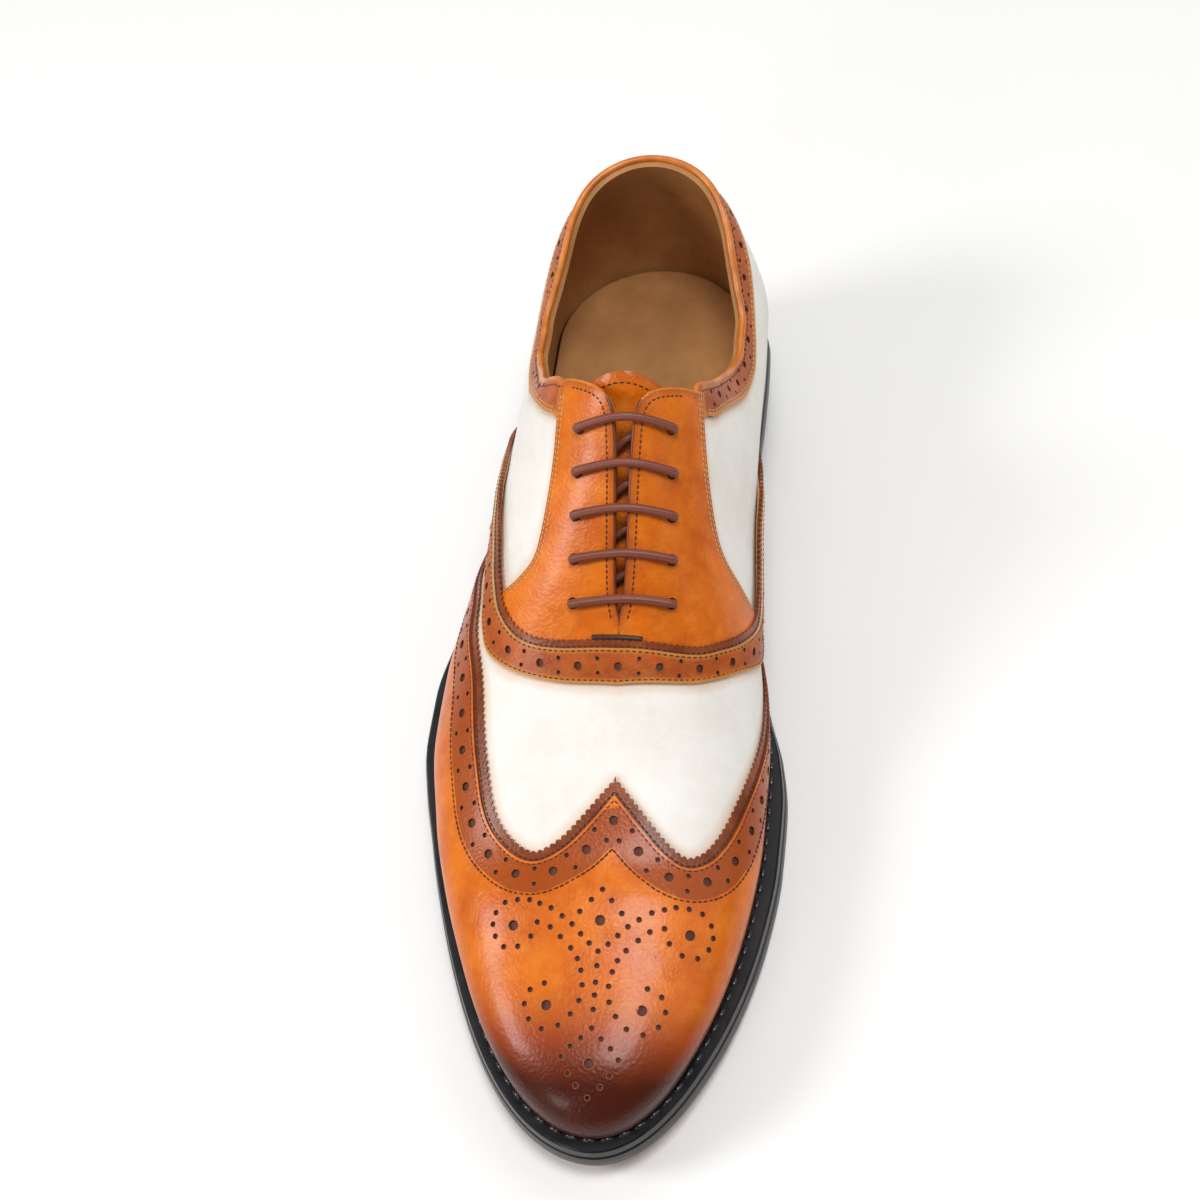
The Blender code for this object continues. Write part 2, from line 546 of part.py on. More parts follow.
def smooth_path(points, pieces=3):
    """A Catmull-Rom curve through the points, with a few pieces to each gap."""
    points = np.array(points, float)
    padded = np.concatenate([2 * points[:1] - points[1:2], points, 2 * points[-1:] - points[-2:-1]])
    made = []
    for k in range(1, len(padded) - 2):
        a, b, c, d = padded[k - 1:k + 3]
        for t in np.linspace(0, 1, pieces, endpoint=False):
            made.append(0.5 * (2 * b + (c - a) * t + (2 * a - 5 * b + 4 * c - d) * t ** 2
                               + (3 * b - a - 3 * c + d) * t ** 3))
    made.append(points[-1])
    return np.array(made)


def inside(polygon, point):
    """Whether a point of the plane lies inside a polygon, by counting crossings."""
    x, y = point
    following = np.roll(polygon, -1, axis=0)
    crosses = (polygon[:, 1] > y) != (following[:, 1] > y)
    rise = np.where(crosses, following[:, 1] - polygon[:, 1], 1)
    at = polygon[:, 0] + (y - polygon[:, 1]) / rise * (following[:, 0] - polygon[:, 0])
    return int(np.sum(crosses & (x < at))) % 2 == 1


def diagonals(chart, u, v):
    """Steps from a chart's grid point along the diagonals that the upper's facets have there."""
    if chart == "ridge":
        return [(1, -1)] if v >= 1 else [(1, 1)] if v <= -1 else []
    if chart == "back":
        return [(1, 1)] * (u >= 0) + [(-1, 1)] * (u <= 0)
    return [(1, 1)]


def overlay(upper, name, outline, chart, colour, roughness):
    """A piece of leather over the upper, cut along an outline drawn on a flat chart of it.

    The chart's plane holds stations across and rows up. Chart "ridge" puts the two sides on either
    side of the ridge, "back" on either side of the back seam, and -1 or 1 is one side alone. The
    upper's own grid lines cut the piece, so its facets stay parallel to the upper's.
    """
    def unfold(u, v):
        if chart == "ridge":
            return (-1 if v < 0 else 1), u, upper.rows - abs(v)
        if chart == "back":
            return (-1 if u < 0 else 1), abs(u), v
        return chart, u, v

    outline = np.array(outline, float)
    low = np.floor(outline.min(axis=0)).astype(int) - 1
    high = np.ceil(outline.max(axis=0)).astype(int) + 1
    coordinates = [Vector(p) for p in outline]
    edges = [(k, (k + 1) % len(outline)) for k in range(len(outline))]
    number = {}
    for u in range(low[0], high[0] + 1):
        for v in range(low[1], high[1] + 1):
            number[u, v] = len(coordinates)
            coordinates.append(Vector((u, v)))
    for (u, v), k in number.items():
        for du, dv in [(1, 0), (0, 1)] + diagonals(chart, u, v):
            if (u + du, v + dv) in number:
                edges.append((k, number[u + du, v + dv]))
    made = delaunay_2d_cdt(coordinates, edges, [], 0, 1e-6)
    flat = np.array([tuple(v) for v in made[0]])
    faces = [list(face) for face in made[2] if inside(outline, flat[list(face)].mean(axis=0))]
    used = sorted({k for face in faces for k in face})
    renumber = {k: n for n, k in enumerate(used)}
    laid = np.array([upper.lift(*unfold(*flat[k]), CLEARANCE) for k in used])
    under = np.array([upper.lift(*unfold(*flat[k]), 0.0) for k in used])
    turned = []
    for face in faces:
        corners = [renumber[k] for k in face]
        a, b, c = laid[corners]
        outward = (laid[corners] - under[corners]).sum(axis=0)
        turned.append(corners if np.dot(np.cross(b - a, c - a), outward) > 0 else corners[::-1])
    piece = new_object(name, new_mesh(name, laid, turned), colour, roughness)
    thicken(piece, OVERLAY, 1)
    return piece


def charted(upper, side, points, chart, pieces=2, shift=(0.0, 0.0)):
    """A smooth line of (length share, girth share) points, as points of a chart."""
    made = []
    for s, share in smooth_path(points, pieces) + np.array(shift):
        i, j = upper.place(side, s, share)
        if chart == "ridge":
            made.append((i, side * (upper.rows - j)))
        elif chart == "back":
            made.append((side * i, j))
        else:
            made.append((i, j))
    return made


TAN = (0.55, 0.20, 0.035)
BROWN = (0.26, 0.075, 0.022)
WHITE = (0.80, 0.77, 0.70)


def upper_piece(upper):
    """The hollow upper, open at the collar and throat and underneath, with its eyelet holes."""
    piece = new_object("upper", new_mesh("upper", upper.points.reshape(-1, 3), upper.faces), WHITE,
                       0.45)
    thicken(piece, WALL, -1)
    return piece


def back_column(half):
    """Fractional station at a distance from the back seam, around the heel's elliptic end."""
    share = half / (UPPER_LATERAL * UPPER_GIRTH[0, 1])
    s = 0.115 * (1 - math.sqrt(1 - share ** 2))
    return float(np.interp(s, STATIONS, np.arange(len(STATIONS))))


def overlay_pieces(upper):
    """Wing cap, vamp band, two facings, collar band and backstay."""
    rows = upper.rows
    foot = 0.6
    toe = upper.last

    def to_ridge(line, side):
        return [(u, max(-rows + foot, min(rows - foot, v))) for u, v in
                charted(upper, side, line, "ridge")]

    wing = to_ridge(WING_EDGE[-1], -1) + to_ridge(WING_EDGE[1], 1)[::-1][1:]
    wing += [(toe, rows - foot), (toe, -rows + foot)]
    overlay(upper, "wing_cap", wing, "ridge", TAN, 0.3)
    high = to_ridge(BAND_UPPER[-1], -1) + to_ridge(BAND_UPPER[1], 1)[::-1][1:]
    low = to_ridge(BAND_LOWER[-1], -1) + to_ridge(BAND_LOWER[1], 1)[::-1][1:]
    overlay(upper, "vamp_band", high + low[::-1], "ridge", BROWN, 0.35)

    facings = []
    for side, name in ((-1, "facing_lateral"), (1, "facing_medial")):
        outer = charted(upper, side, FACING_OUTER[side], side)
        foot_line = [p for p in BAND_UPPER[side] if p[0] > FACING_OUTER[side][-1][0] + 0.004]
        foot_line[-1] = (foot_line[-1][0], 0.992)
        below = charted(upper, side, foot_line, side, shift=(-SEAM_GAP, 0))
        end = upper.place(side, FACING_EDGE[-1, 0] + 0.002, 0.992)
        edge = [(i, rows) for i in range(SLIT_END - 1, int(outer[0][0]), -1)]
        outline = outer + below + [end, (SLIT_END - 0.6, rows)] + edge + [(outer[0][0], rows)]
        facings.append(overlay(upper, name, outline, side, TAN, 0.3))

    collar = []
    for side in (-1, 1):
        seam = FACING_OUTER[side][:2]
        lower = charted(upper, side, COLLAR_LOWER[side], "back")
        rise = charted(upper, side, seam[::-1], "back", shift=(-SEAM_GAP, -SEAM_SHARE))
        rise[-1] = (rise[-1][0], rows)
        top = [(side * i, rows) for i in range(int(abs(rise[-1][0])), 0, -1)]
        half = lower[1:] + rise + top
        collar += half if side > 0 else [(0, rows)] + half[::-1] + [lower[0]]
    overlay(upper, "collar_band", collar, "back", BROWN, 0.35)

    gap = upper.place(1, 0.0, COLLAR_LOWER[1][0][1] - 0.015)[1]
    narrow, wide = (back_column(half) for half in (BACKSTAY_TOP, BACKSTAY_FOOT))
    overlay(upper, "backstay", [(-wide, foot), (wide, foot), (narrow, gap), (-narrow, gap)], "back",
            TAN, 0.35)
    return facings


def tongue_piece():
    """A tongue under the facings, stitched below the throat and rounded at its top."""
    across = np.linspace(-1, 1, 11)
    up = np.linspace(0, 1, 14)
    grid = np.zeros((len(up), len(across), 3))
    for b, w in enumerate(across):
        side = -1 if w < 0 else 1
        top = TONGUE_TOP + TONGUE_ROUND * w ** 4
        for a, k in enumerate(up):
            s = TONGUE_FOOT + (top - TONGUE_FOOT) * k
            share = 1 - abs(w) * (TONGUE_HALF[0] + (TONGUE_HALF[1] - TONGUE_HALF[0]) * k)
            drop = smooth_step(k / 0.25)
            rise = smooth_step((k - 0.86) / 0.14)
            depth = (TONGUE_SEAT + (TONGUE_DEPTH - TONGUE_SEAT) * drop
                     + (TONGUE_CREST - TONGUE_DEPTH) * rise)
            grid[a, b] = cover(side, s, share, depth)
    round_over(grid, 3, 7)
    count = len(across)
    faces = [(a * count + b, a * count + b + 1, (a + 1) * count + b + 1, (a + 1) * count + b)
             for a in range(len(up) - 1) for b in range(count - 1)]
    piece = new_object("tongue", new_mesh("tongue", grid.reshape(-1, 3), faces), TAN, 0.3)
    thicken(piece, TONGUE_THICKNESS, -1)


def smooth_step(t):
    """0 to 1 with level ends."""
    t = min(max(t, 0.0), 1.0)
    return t * t * (3 - 2 * t)


def round_over(grid, low, high):
    """Redraw the middle columns of a grid as a smooth arch between columns low and high."""
    span = high - low
    start = grid[:, low]
    end = grid[:, high]
    leave = (start - grid[:, low - 1]) * span
    arrive = (grid[:, high + 1] - end) * span
    for b in range(low + 1, high):
        t = (b - low) / span
        grid[:, b] = (start * (1 + 2 * t) * (1 - t) ** 2 + leave * t * (1 - t) ** 2
                      + end * t ** 2 * (3 - 2 * t) - arrive * t ** 2 * (1 - t))


def eyelets(side):
    """Length share and girth share of each eyelet, top to bottom."""
    made = []
    for s in np.linspace(EYELET_TOP, EYELET_BOTTOM, EYELET_PAIRS):
        girth = np.linalg.norm(np.diff(section(s, side), axis=0), axis=1).sum()
        made.append((float(s), 1 - EYELET_SPREAD[0 if side < 0 else 1] / girth))
    return made


def pierce(pieces):
    """Eyelet holes through the upper and the facings."""
    bm = bmesh.new()
    for side in (-1, 1):
        for s, share in eyelets(side):
            low = Vector(cover(side, s, share, -0.006))
            high = Vector(cover(side, s, share, 0.004))
            turn = (high - low).to_track_quat("Z", "Y").to_matrix().to_4x4()
            turn.translation = (low + high) / 2
            bmesh.ops.create_cone(bm, cap_ends=True, segments=8, radius1=EYELET_DIAMETER / 2,
                                  radius2=EYELET_DIAMETER / 2, depth=(high - low).length,
                                  matrix=turn)
    mesh = bpy.data.meshes.new("eyelet_cutter")
    bm.to_mesh(mesh)
    bm.free()
    cutter = bpy.data.objects.new("eyelet_cutter", mesh)
    cutter.display_type = "WIRE"
    cutter.hide_render = True
    CUTTERS.objects.link(cutter)
    for piece in pieces:
        cut = piece.modifiers.new("eyelets", "BOOLEAN")
        cut.operation = "DIFFERENCE"
        cut.solver = "EXACT"
        cut.object = cutter


def lace_run(start, end, depth, count):
    """Points over or under the instep between two (side, length share, girth share) spots."""
    made = []
    for w in np.linspace(0, 1, count):
        place = (1 - w) * start[0] * (1 - start[2]) + w * end[0] * (1 - end[2])
        side = -1 if place < 0 else 1
        made.append(cover(side, (1 - w) * start[1] + w * end[1], 1 - abs(place), depth))
    return made


def turned(points, radius):
    """A polyline with each sharp corner replaced by a small arc of three points."""
    made = [points[0]]
    for before, here, after in zip(points[:-2], points[1:-1], points[2:]):
        into = (before - here) / np.linalg.norm(before - here)
        out = (after - here) / np.linalg.norm(after - here)
        bend = math.pi - math.acos(max(-1.0, min(1.0, float(np.dot(into, out)))))
        if bend < 0.9:
            made.append(here)
            continue
        reach = radius * math.tan(bend / 2)
        middle = here + (into + out) / np.linalg.norm(into + out) * radius * (1 / math.cos(bend / 2) - 1)
        made += [here + into * reach, middle, here + out * reach]
    made.append(points[-1])
    return np.array(made)


def lace_piece():
    """One lace: a bar across each pair of eyelets, a slant under the facings to the next pair, and
    a run back up beside the medial eyelets. Both its ends stop at the top eyelets."""
    above = CLEARANCE + OVERLAY + BAR_LIFT + LACE_DIAMETER / 2
    below = -(WALL + RUN_LIFT + LACE_DIAMETER / 2)
    lateral = [(-1, *spot) for spot in eyelets(-1)]
    medial = [(1, *spot) for spot in eyelets(1)]
    route = []
    for k in range(EYELET_PAIRS):
        route += lace_run(lateral[k], medial[k], above, 7)
        if k < EYELET_PAIRS - 1:
            route += lace_run(medial[k], lateral[k + 1], below, 7)
    route.insert(0, cover(*lateral[0], below + 0.0005))
    foot = medial[-1]
    aside = LACE_ASIDE / (EYELET_SPREAD[1] / (1 - foot[2]))
    route += lace_run(foot, (1, foot[1] + 0.004, foot[2] - aside), below, 2)
    route += lace_run((1, foot[1] - 0.012, foot[2] - aside),
                      (1, medial[0][1], medial[0][2] - aside), below, 8)
    curve = bpy.data.curves.new("lace", "CURVE")
    curve.dimensions = "3D"
    curve.bevel_depth = LACE_DIAMETER / 2
    curve.bevel_resolution = 1
    curve.use_fill_caps = True
    line = turned(route, LACE_TURN)
    spline = curve.splines.new("POLY")
    spline.points.add(len(line) - 1)
    spline.points.foreach_set("co", np.append(line, np.ones((len(line), 1)), axis=1).ravel())
    new_object("lace", curve, BROWN, 0.4)


def main():
    """Build every piece of the shoe."""
    for obj in list(bpy.data.objects):
        bpy.data.objects.remove(obj)
    bpy.context.scene.collection.children.link(SHOE)
    bpy.context.scene.collection.children.link(CUTTERS)
    sole_pieces()
    heel_pieces()
    upper = Upper()
    body = upper_piece(upper)
    pierce([body] + overlay_pieces(upper))
    tongue_piece()
    lace_piece()


SHOE = bpy.data.collections.new("spectator_shoe")
CUTTERS = bpy.data.collections.new("cutters")
main()
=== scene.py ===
# Spectator shoe, right foot: the looks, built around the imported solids.
# The toe points to -Y and the medial side is at +X.
import json
import math

import bpy
import numpy as np
from mathutils import Matrix, Vector
from mathutils.geometry import delaunay_2d_cdt

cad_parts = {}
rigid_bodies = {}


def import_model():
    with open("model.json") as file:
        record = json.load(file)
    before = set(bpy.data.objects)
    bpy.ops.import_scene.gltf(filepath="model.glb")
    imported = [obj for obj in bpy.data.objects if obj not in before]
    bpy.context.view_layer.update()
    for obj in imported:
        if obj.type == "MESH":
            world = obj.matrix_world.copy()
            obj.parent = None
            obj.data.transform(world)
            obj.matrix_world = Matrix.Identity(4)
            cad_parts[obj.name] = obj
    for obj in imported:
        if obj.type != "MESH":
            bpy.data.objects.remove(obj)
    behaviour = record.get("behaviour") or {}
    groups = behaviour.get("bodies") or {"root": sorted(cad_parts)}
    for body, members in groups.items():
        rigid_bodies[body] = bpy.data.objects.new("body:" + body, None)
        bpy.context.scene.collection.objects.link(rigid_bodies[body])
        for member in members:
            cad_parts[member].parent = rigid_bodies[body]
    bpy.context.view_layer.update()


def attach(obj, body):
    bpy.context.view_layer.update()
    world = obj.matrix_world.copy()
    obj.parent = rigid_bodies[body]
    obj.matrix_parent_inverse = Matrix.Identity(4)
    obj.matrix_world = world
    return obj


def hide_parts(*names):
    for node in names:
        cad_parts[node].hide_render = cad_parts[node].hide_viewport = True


for item in list(bpy.data.objects):
    bpy.data.objects.remove(item)
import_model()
print("stage: frame loaded")

mm = 0.001  # every length below is in mm until it becomes a mesh

# Sizes of the last and sole, the same as the solids have
last = {
    "length": 304.0, "ball": (65.6, 49.3), "heelRise": 24.5, "toeSpring": 9.6,
    "outsole": 6.0, "welt": 3.5, "flare": 1.6, "step": 0.4, "weltWidth": 14.5,
    "upper": (56.3, 42.4), "tuck": 6.0, "swell": 16.0, "instep": 85.0, "toeBox": 29.0,
    "back": 57.0, "heelMargin": 3.5, "toeMargin": 7.0, "ridgeShift": 2.5, "heelCurve": 12.0,
    "heelLean": 5.0, "toeSetback": 7.0, "slitHalf": 3.4, "gap": 0.3, "wall": 2.2,
    "heelRound": 0.115, "toeRound": 0.3, "collarEnd": 0.318}  # these three: shares of the length

# Sole from above: share of the length from the heel, shares of the lateral and medial ball widths
soleOutline = np.array([
    (0.000, 0.556, 0.740), (0.070, 0.572, 0.755), (0.140, 0.584, 0.767), (0.200, 0.598, 0.757),
    (0.270, 0.625, 0.722), (0.335, 0.678, 0.677), (0.400, 0.777, 0.677), (0.467, 0.915, 0.763),
    (0.533, 0.991, 0.876), (0.585, 1.000, 0.966), (0.635, 0.966, 1.000), (0.700, 0.893, 0.986),
    (0.765, 0.828, 0.953), (0.830, 0.780, 0.921), (0.880, 0.753, 0.892), (0.920, 0.738, 0.868),
    (0.960, 0.726, 0.852), (1.000, 0.713, 0.840)])
# Underside of the sole: shares of the heel rise and of the toe spring
soleProfile = np.array([
    (0.000, 1.000, 0.00), (0.100, 0.988, 0.00), (0.200, 0.947, 0.00), (0.270, 0.837, 0.00),
    (0.340, 0.592, 0.00), (0.420, 0.286, 0.00), (0.500, 0.082, 0.00), (0.560, 0.000, 0.00),
    (0.620, 0.000, 0.00), (0.690, 0.000, 0.00), (0.740, 0.000, 0.05), (0.820, 0.000, 0.24),
    (0.900, 0.000, 0.54), (1.000, 0.000, 1.00)])
# Upper's sections: widest line on each side, draw-in at the welt on each side, height of that line
upperGirth = np.array([
    (0.000, 0.666, 0.873, 0.42, 0.42, 0.94), (0.050, 0.675, 0.877, 0.42, 0.45, 0.94),
    (0.100, 0.685, 0.882, 0.42, 0.50, 0.94), (0.180, 0.710, 0.886, 0.50, 0.67, 0.94),
    (0.250, 0.728, 0.868, 0.58, 0.83, 0.94), (0.330, 0.755, 0.859, 0.67, 1.00, 1.00),
    (0.365, 0.782, 0.859, 0.70, 1.00, 1.00), (0.400, 0.810, 0.868, 0.75, 1.00, 1.00),
    (0.480, 0.909, 0.910, 0.67, 0.75, 0.94), (0.553, 0.984, 0.972, 0.50, 0.50, 0.88),
    (0.620, 1.000, 1.000, 0.42, 0.42, 0.81), (0.700, 0.940, 0.984, 0.42, 0.42, 0.75),
    (0.780, 0.863, 0.950, 0.33, 0.33, 0.69), (0.860, 0.798, 0.922, 0.33, 0.33, 0.63),
    (0.930, 0.769, 0.903, 0.33, 0.33, 0.56), (1.000, 0.755, 0.920, 0.33, 0.33, 0.38)])
# Ridge: shares of the back, instep and toe box heights, roundness of the section, sideways place
upperRidge = np.array([
    (0.000, 1.37, 0.00, 0.00, 1.75, 0.00), (0.050, 1.28, 0.00, 0.00, 1.70, 0.00),
    (0.100, 1.15, 0.00, 0.00, 1.60, 0.00), (0.180, 0.90, 0.09, 0.00, 1.50, 0.00),
    (0.250, 0.50, 0.42, 0.00, 1.50, 0.12), (0.330, 0.00, 1.00, 0.00, 1.55, 0.32),
    (0.365, 0.00, 0.98, 0.00, 1.58, 0.40), (0.400, 0.00, 0.93, 0.00, 1.60, 0.40),
    (0.480, 0.00, 0.80, 0.00, 1.70, 0.36), (0.553, 0.00, 0.65, 0.00, 1.80, 0.32),
    (0.620, 0.00, 0.47, 0.15, 1.90, 0.40), (0.700, 0.00, 0.22, 0.57, 2.00, 0.60),
    (0.780, 0.00, 0.00, 1.00, 2.10, 0.80), (0.860, 0.00, 0.00, 0.80, 2.20, 1.00),
    (0.930, 0.00, 0.00, 0.65, 2.20, 1.00), (0.965, 0.00, 0.00, 0.56, 2.20, 0.80),
    (1.000, 0.00, 0.00, 0.42, 2.20, 0.00)])
# Topline: shares of the back height and of the instep height
topline = np.array([
    (0.000, 1.00, 0.00), (0.050, 0.94, 0.00), (0.100, 0.81, 0.00), (0.140, 0.69, 0.00),
    (0.180, 0.60, 0.00), (0.210, 0.60, 0.00), (0.245, 0.50, 0.12), (0.290, 0.30, 0.41),
    (0.330, 0.00, 0.80)])
# Facings' edge: distance from the ridge as a share of half the slit
facingEdge = np.array([
    (0.336, 5.60), (0.346, 4.20), (0.353, 3.30), (0.361, 2.30), (0.371, 1.45), (0.385, 0.95),
    (0.400, 0.80), (0.430, 0.68), (0.500, 0.57), (0.530, 0.42), (0.550, 0.00)])

# Lines of the pattern as (share of the upper's length, share of the half girth from the welt)
wingEdge = {
    -1: [(0.33, 0.0), (0.36, 0.11), (0.40, 0.21), (0.448, 0.316), (0.489, 0.402), (0.527, 0.437),
         (0.582, 0.485), (0.656, 0.495), (0.700, 0.505), (0.725, 0.530), (0.743, 0.580),
         (0.754, 0.640), (0.755, 0.700), (0.743, 0.790), (0.722, 0.880), (0.688, 1.0)],
    1: [(0.36, 0.0), (0.40, 0.06), (0.45, 0.10), (0.50, 0.15), (0.56, 0.22), (0.62, 0.31),
        (0.68, 0.41), (0.720, 0.48), (0.742, 0.54), (0.752, 0.60), (0.753, 0.66), (0.742, 0.75),
        (0.720, 0.86), (0.688, 1.0)]}
bandUpper = {
    -1: [(0.21, 0.0), (0.25, 0.12), (0.30, 0.23), (0.35, 0.325), (0.40, 0.41), (0.449, 0.505),
         (0.491, 0.555), (0.525, 0.60), (0.551, 0.68), (0.562, 0.80), (0.564, 1.0)],
    1: [(0.235, 0.0), (0.27, 0.08), (0.33, 0.17), (0.38, 0.22), (0.45, 0.27), (0.49, 0.34),
        (0.523, 0.47), (0.545, 0.60), (0.560, 0.74), (0.564, 1.0)]}
bandLower = {
    -1: [(0.26, 0.0), (0.30, 0.12), (0.35, 0.225), (0.40, 0.315), (0.446, 0.40), (0.490, 0.455),
         (0.533, 0.49), (0.560, 0.53), (0.584, 0.64), (0.598, 0.80), (0.601, 1.0)],
    1: [(0.29, 0.0), (0.33, 0.06), (0.38, 0.11), (0.44, 0.15), (0.49, 0.19), (0.53, 0.30),
        (0.562, 0.49), (0.580, 0.61), (0.592, 0.74), (0.601, 1.0)]}
facingOuter = {
    -1: [(0.340, 0.778), (0.367, 0.770), (0.422, 0.754), (0.467, 0.730), (0.488, 0.700),
         (0.500, 0.640), (0.504, 0.600)],
    1: [(0.320, 0.712), (0.351, 0.700), (0.403, 0.667), (0.445, 0.621), (0.465, 0.560),
        (0.476, 0.450), (0.482, 0.370)]}
collarLower = {
    -1: [(0.0, 0.58), (0.05, 0.55), (0.10, 0.47), (0.145, 0.405), (0.204, 0.375), (0.235, 0.39),
         (0.276, 0.46), (0.310, 0.555), (0.339, 0.645), (0.354, 0.70), (0.362, 0.740)],
    1: [(0.0, 0.58), (0.05, 0.55), (0.10, 0.47), (0.145, 0.41), (0.204, 0.37), (0.230, 0.375),
        (0.263, 0.42), (0.295, 0.49), (0.323, 0.57), (0.340, 0.625), (0.347, 0.670)]}


def along(table, column, s):
    # cubic Hermite curve with harmonic-mean slopes, so it never overshoots the table's points
    x, y = table[:, 0], table[:, column]
    step = np.diff(x)
    slope = np.diff(y) / step
    tangent = np.concatenate([slope[:1], np.zeros(len(x) - 2), slope[-1:]])
    same = slope[:-1] * slope[1:] > 0
    before, after = 2 * step[1:] + step[:-1], step[1:] + 2 * step[:-1]
    near, far = np.where(same, slope[:-1], 1.0), np.where(same, slope[1:], 1.0)
    tangent[1:-1] = np.where(same, (before + after) / (before / near + after / far), 0.0)
    s = np.clip(s, x[0], x[-1])
    k = np.clip(np.searchsorted(x, s, side="right") - 1, 0, len(x) - 2)
    h, t = step[k], (s - x[k]) / step[k]
    return (y[k] * (1 + 2 * t) * (1 - t) ** 2 + h * tangent[k] * t * (1 - t) ** 2
            + y[k + 1] * t ** 2 * (3 - 2 * t) - h * tangent[k + 1] * t ** 2 * (1 - t))


def roundedEnds(s):
    # product of two quarter ellipses, over the rounded share at the heel and at the toe
    heel = np.clip(1 - s / last["heelRound"], 0, 1)
    toe = np.clip((s - (1 - last["toeRound"])) / last["toeRound"], 0, 1)
    return np.sqrt(np.maximum(1 - heel ** 2, 0)) * np.sqrt(np.maximum(1 - toe ** 2, 0))


def halfWidths(s):
    # half width of the sole on each side = ball width x table x rounded ends
    ends = roundedEnds(s)
    return (last["ball"][0] * along(soleOutline, 1, s) * ends,
            last["ball"][1] * along(soleOutline, 2, s) * ends)


widthScan = halfWidths(np.linspace(0, 1, 400))
centreX = (widthScan[1].max() - widthScan[0].max()) / 2
heelY = last["length"] / 2


def underside(y):
    # height of the sole's underside over the floor = heel rise and toe spring x their tables
    s = (heelY - y) / last["length"]
    return (last["heelRise"] * along(soleProfile, 1, s)
            + last["toeSpring"] * along(soleProfile, 2, s))


def seat(y):
    # height of the upper's foot = underside + outsole + welt + a fine gap
    return underside(y) + last["outsole"] + last["welt"] + last["gap"]


def lastSections(s, side, count=200):
    # each section: a parabola from the welt to the widest line, then a quarter superellipse to the
    # ridge; heel and toe walls are bent along Y by their height
    column = 1 if side < 0 else 2
    half = last["upper"][column - 1]
    y = heelY - last["heelMargin"] - (last["length"] - last["heelMargin"] - last["toeMargin"]) * s
    ends = roundedEnds(s)
    widest = half * along(upperGirth, column, s) * ends
    tuck = last["tuck"] * along(upperGirth, column + 2, s) * ends
    rise = (last["back"] * along(upperRidge, 1, s) + last["instep"] * along(upperRidge, 2, s)
            + last["toeBox"] * along(upperRidge, 3, s))
    power = (2 / along(upperRidge, 4, s))[:, None]
    ridgeX = side * last["ridgeShift"] * along(upperRidge, 5, s) * ends
    swell = np.minimum(last["swell"] * along(upperGirth, 5, s), 0.55 * rise)
    low = count // 4
    k = np.linspace(0, 1, low, endpoint=False)[None]
    angle = np.linspace(0, math.pi / 2, count - low)[None]
    reach = (widest - ridgeX)[:, None] * np.maximum(np.cos(angle), 0) ** power
    x = np.concatenate([widest[:, None] - tuck[:, None] * (1 - k) ** 2, ridgeX[:, None] + reach], 1)
    height = np.concatenate([k * swell[:, None],
                             swell[:, None] + (rise - swell)[:, None] * np.sin(angle) ** power], 1)
    share = height / last["back"]
    fade = np.maximum(0, 1 - s / 0.25)[:, None] ** 2
    bend = fade * (last["heelCurve"] * share * (1 - share) - last["heelLean"] * share ** 2)
    share = height / rise[:, None]
    fade = np.maximum(0, (s - 0.85) / 0.15)[:, None] ** 2
    bend += fade * last["toeSetback"] * (share ** 2.5 - 0.85 * share * (1 - share) ** 2)
    return np.stack([side * x - centreX, y[:, None] + bend, seat(y)[:, None] + height], 2)


def arcLength(points):
    # running sum of the distances between points, from 0
    return np.concatenate([[0], np.cumsum(np.linalg.norm(np.diff(points, axis=0), axis=1))])


def pickedAt(x, known, points):
    # straight-line interpolation of every column of points at x
    return np.stack([np.interp(x, known, points[:, k]) for k in range(points.shape[1])], 1)


skinCount = (481, 141)  # stations from heel to toe, steps from the welt to the ridge
stationAngle = np.linspace(0, math.pi, skinCount[0])
stationShare = (1 - np.cos(stationAngle)) / 2
sides = {}
topShare = {}
for side in (-1, 1):
    sections = lastSections(stationShare, side)
    rows, tops = [], []
    for s, points in zip(stationShare, sections):
        arc = arcLength(points)
        arc /= arc[-1]
        rows.append(pickedAt(np.linspace(0, 1, skinCount[1]), arc, points))
        height = last["back"] * along(topline, 1, s) + last["instep"] * along(topline, 2, s)
        byHeight = min(np.interp(height, points[:, 2] - points[0, 2], arc), 0.97)
        gapHere = last["slitHalf"] * along(facingEdge, 1, s)
        upperPart = slice(len(arc) // 4, None)
        fromRidge = np.abs(points[upperPart, 0] - points[-1, 0])
        byGap = np.interp(-gapHere, -fromRidge, arc[upperPart])
        blend = np.clip((s - last["collarEnd"]) / (facingEdge[0, 0] - last["collarEnd"]), 0, 1)
        tops.append(1.0 if s >= facingEdge[-1, 0] else (1 - blend) * byHeight + blend * byGap)
    sides[side] = np.array(rows)
    topShare[side] = np.array(tops)

# The whole skin as one grid: stations down, and across from the lateral welt over the ridge to the
# medial welt. Normals are the cross product of the grid's two directions, wrapped at heel and toe.
skin = np.concatenate([sides[-1], sides[1][:, -2::-1]], 1)
wrapped = np.concatenate([skin[1:2, ::-1], skin, skin[-2:-1, ::-1]])
skinNormal = np.cross(np.gradient(wrapped, axis=0)[1:-1], np.gradient(skin, axis=1))
skinNormal /= np.linalg.norm(skinNormal, axis=2)[:, :, None] + 1e-12
skinNormal[[0, -1], skinCount[1] - 1] = skinNormal[[1, -2], skinCount[1] - 1]
chartScale = {"along": 100.0, "around": 90.0}  # makes a chart's units about 1 mm on the leather


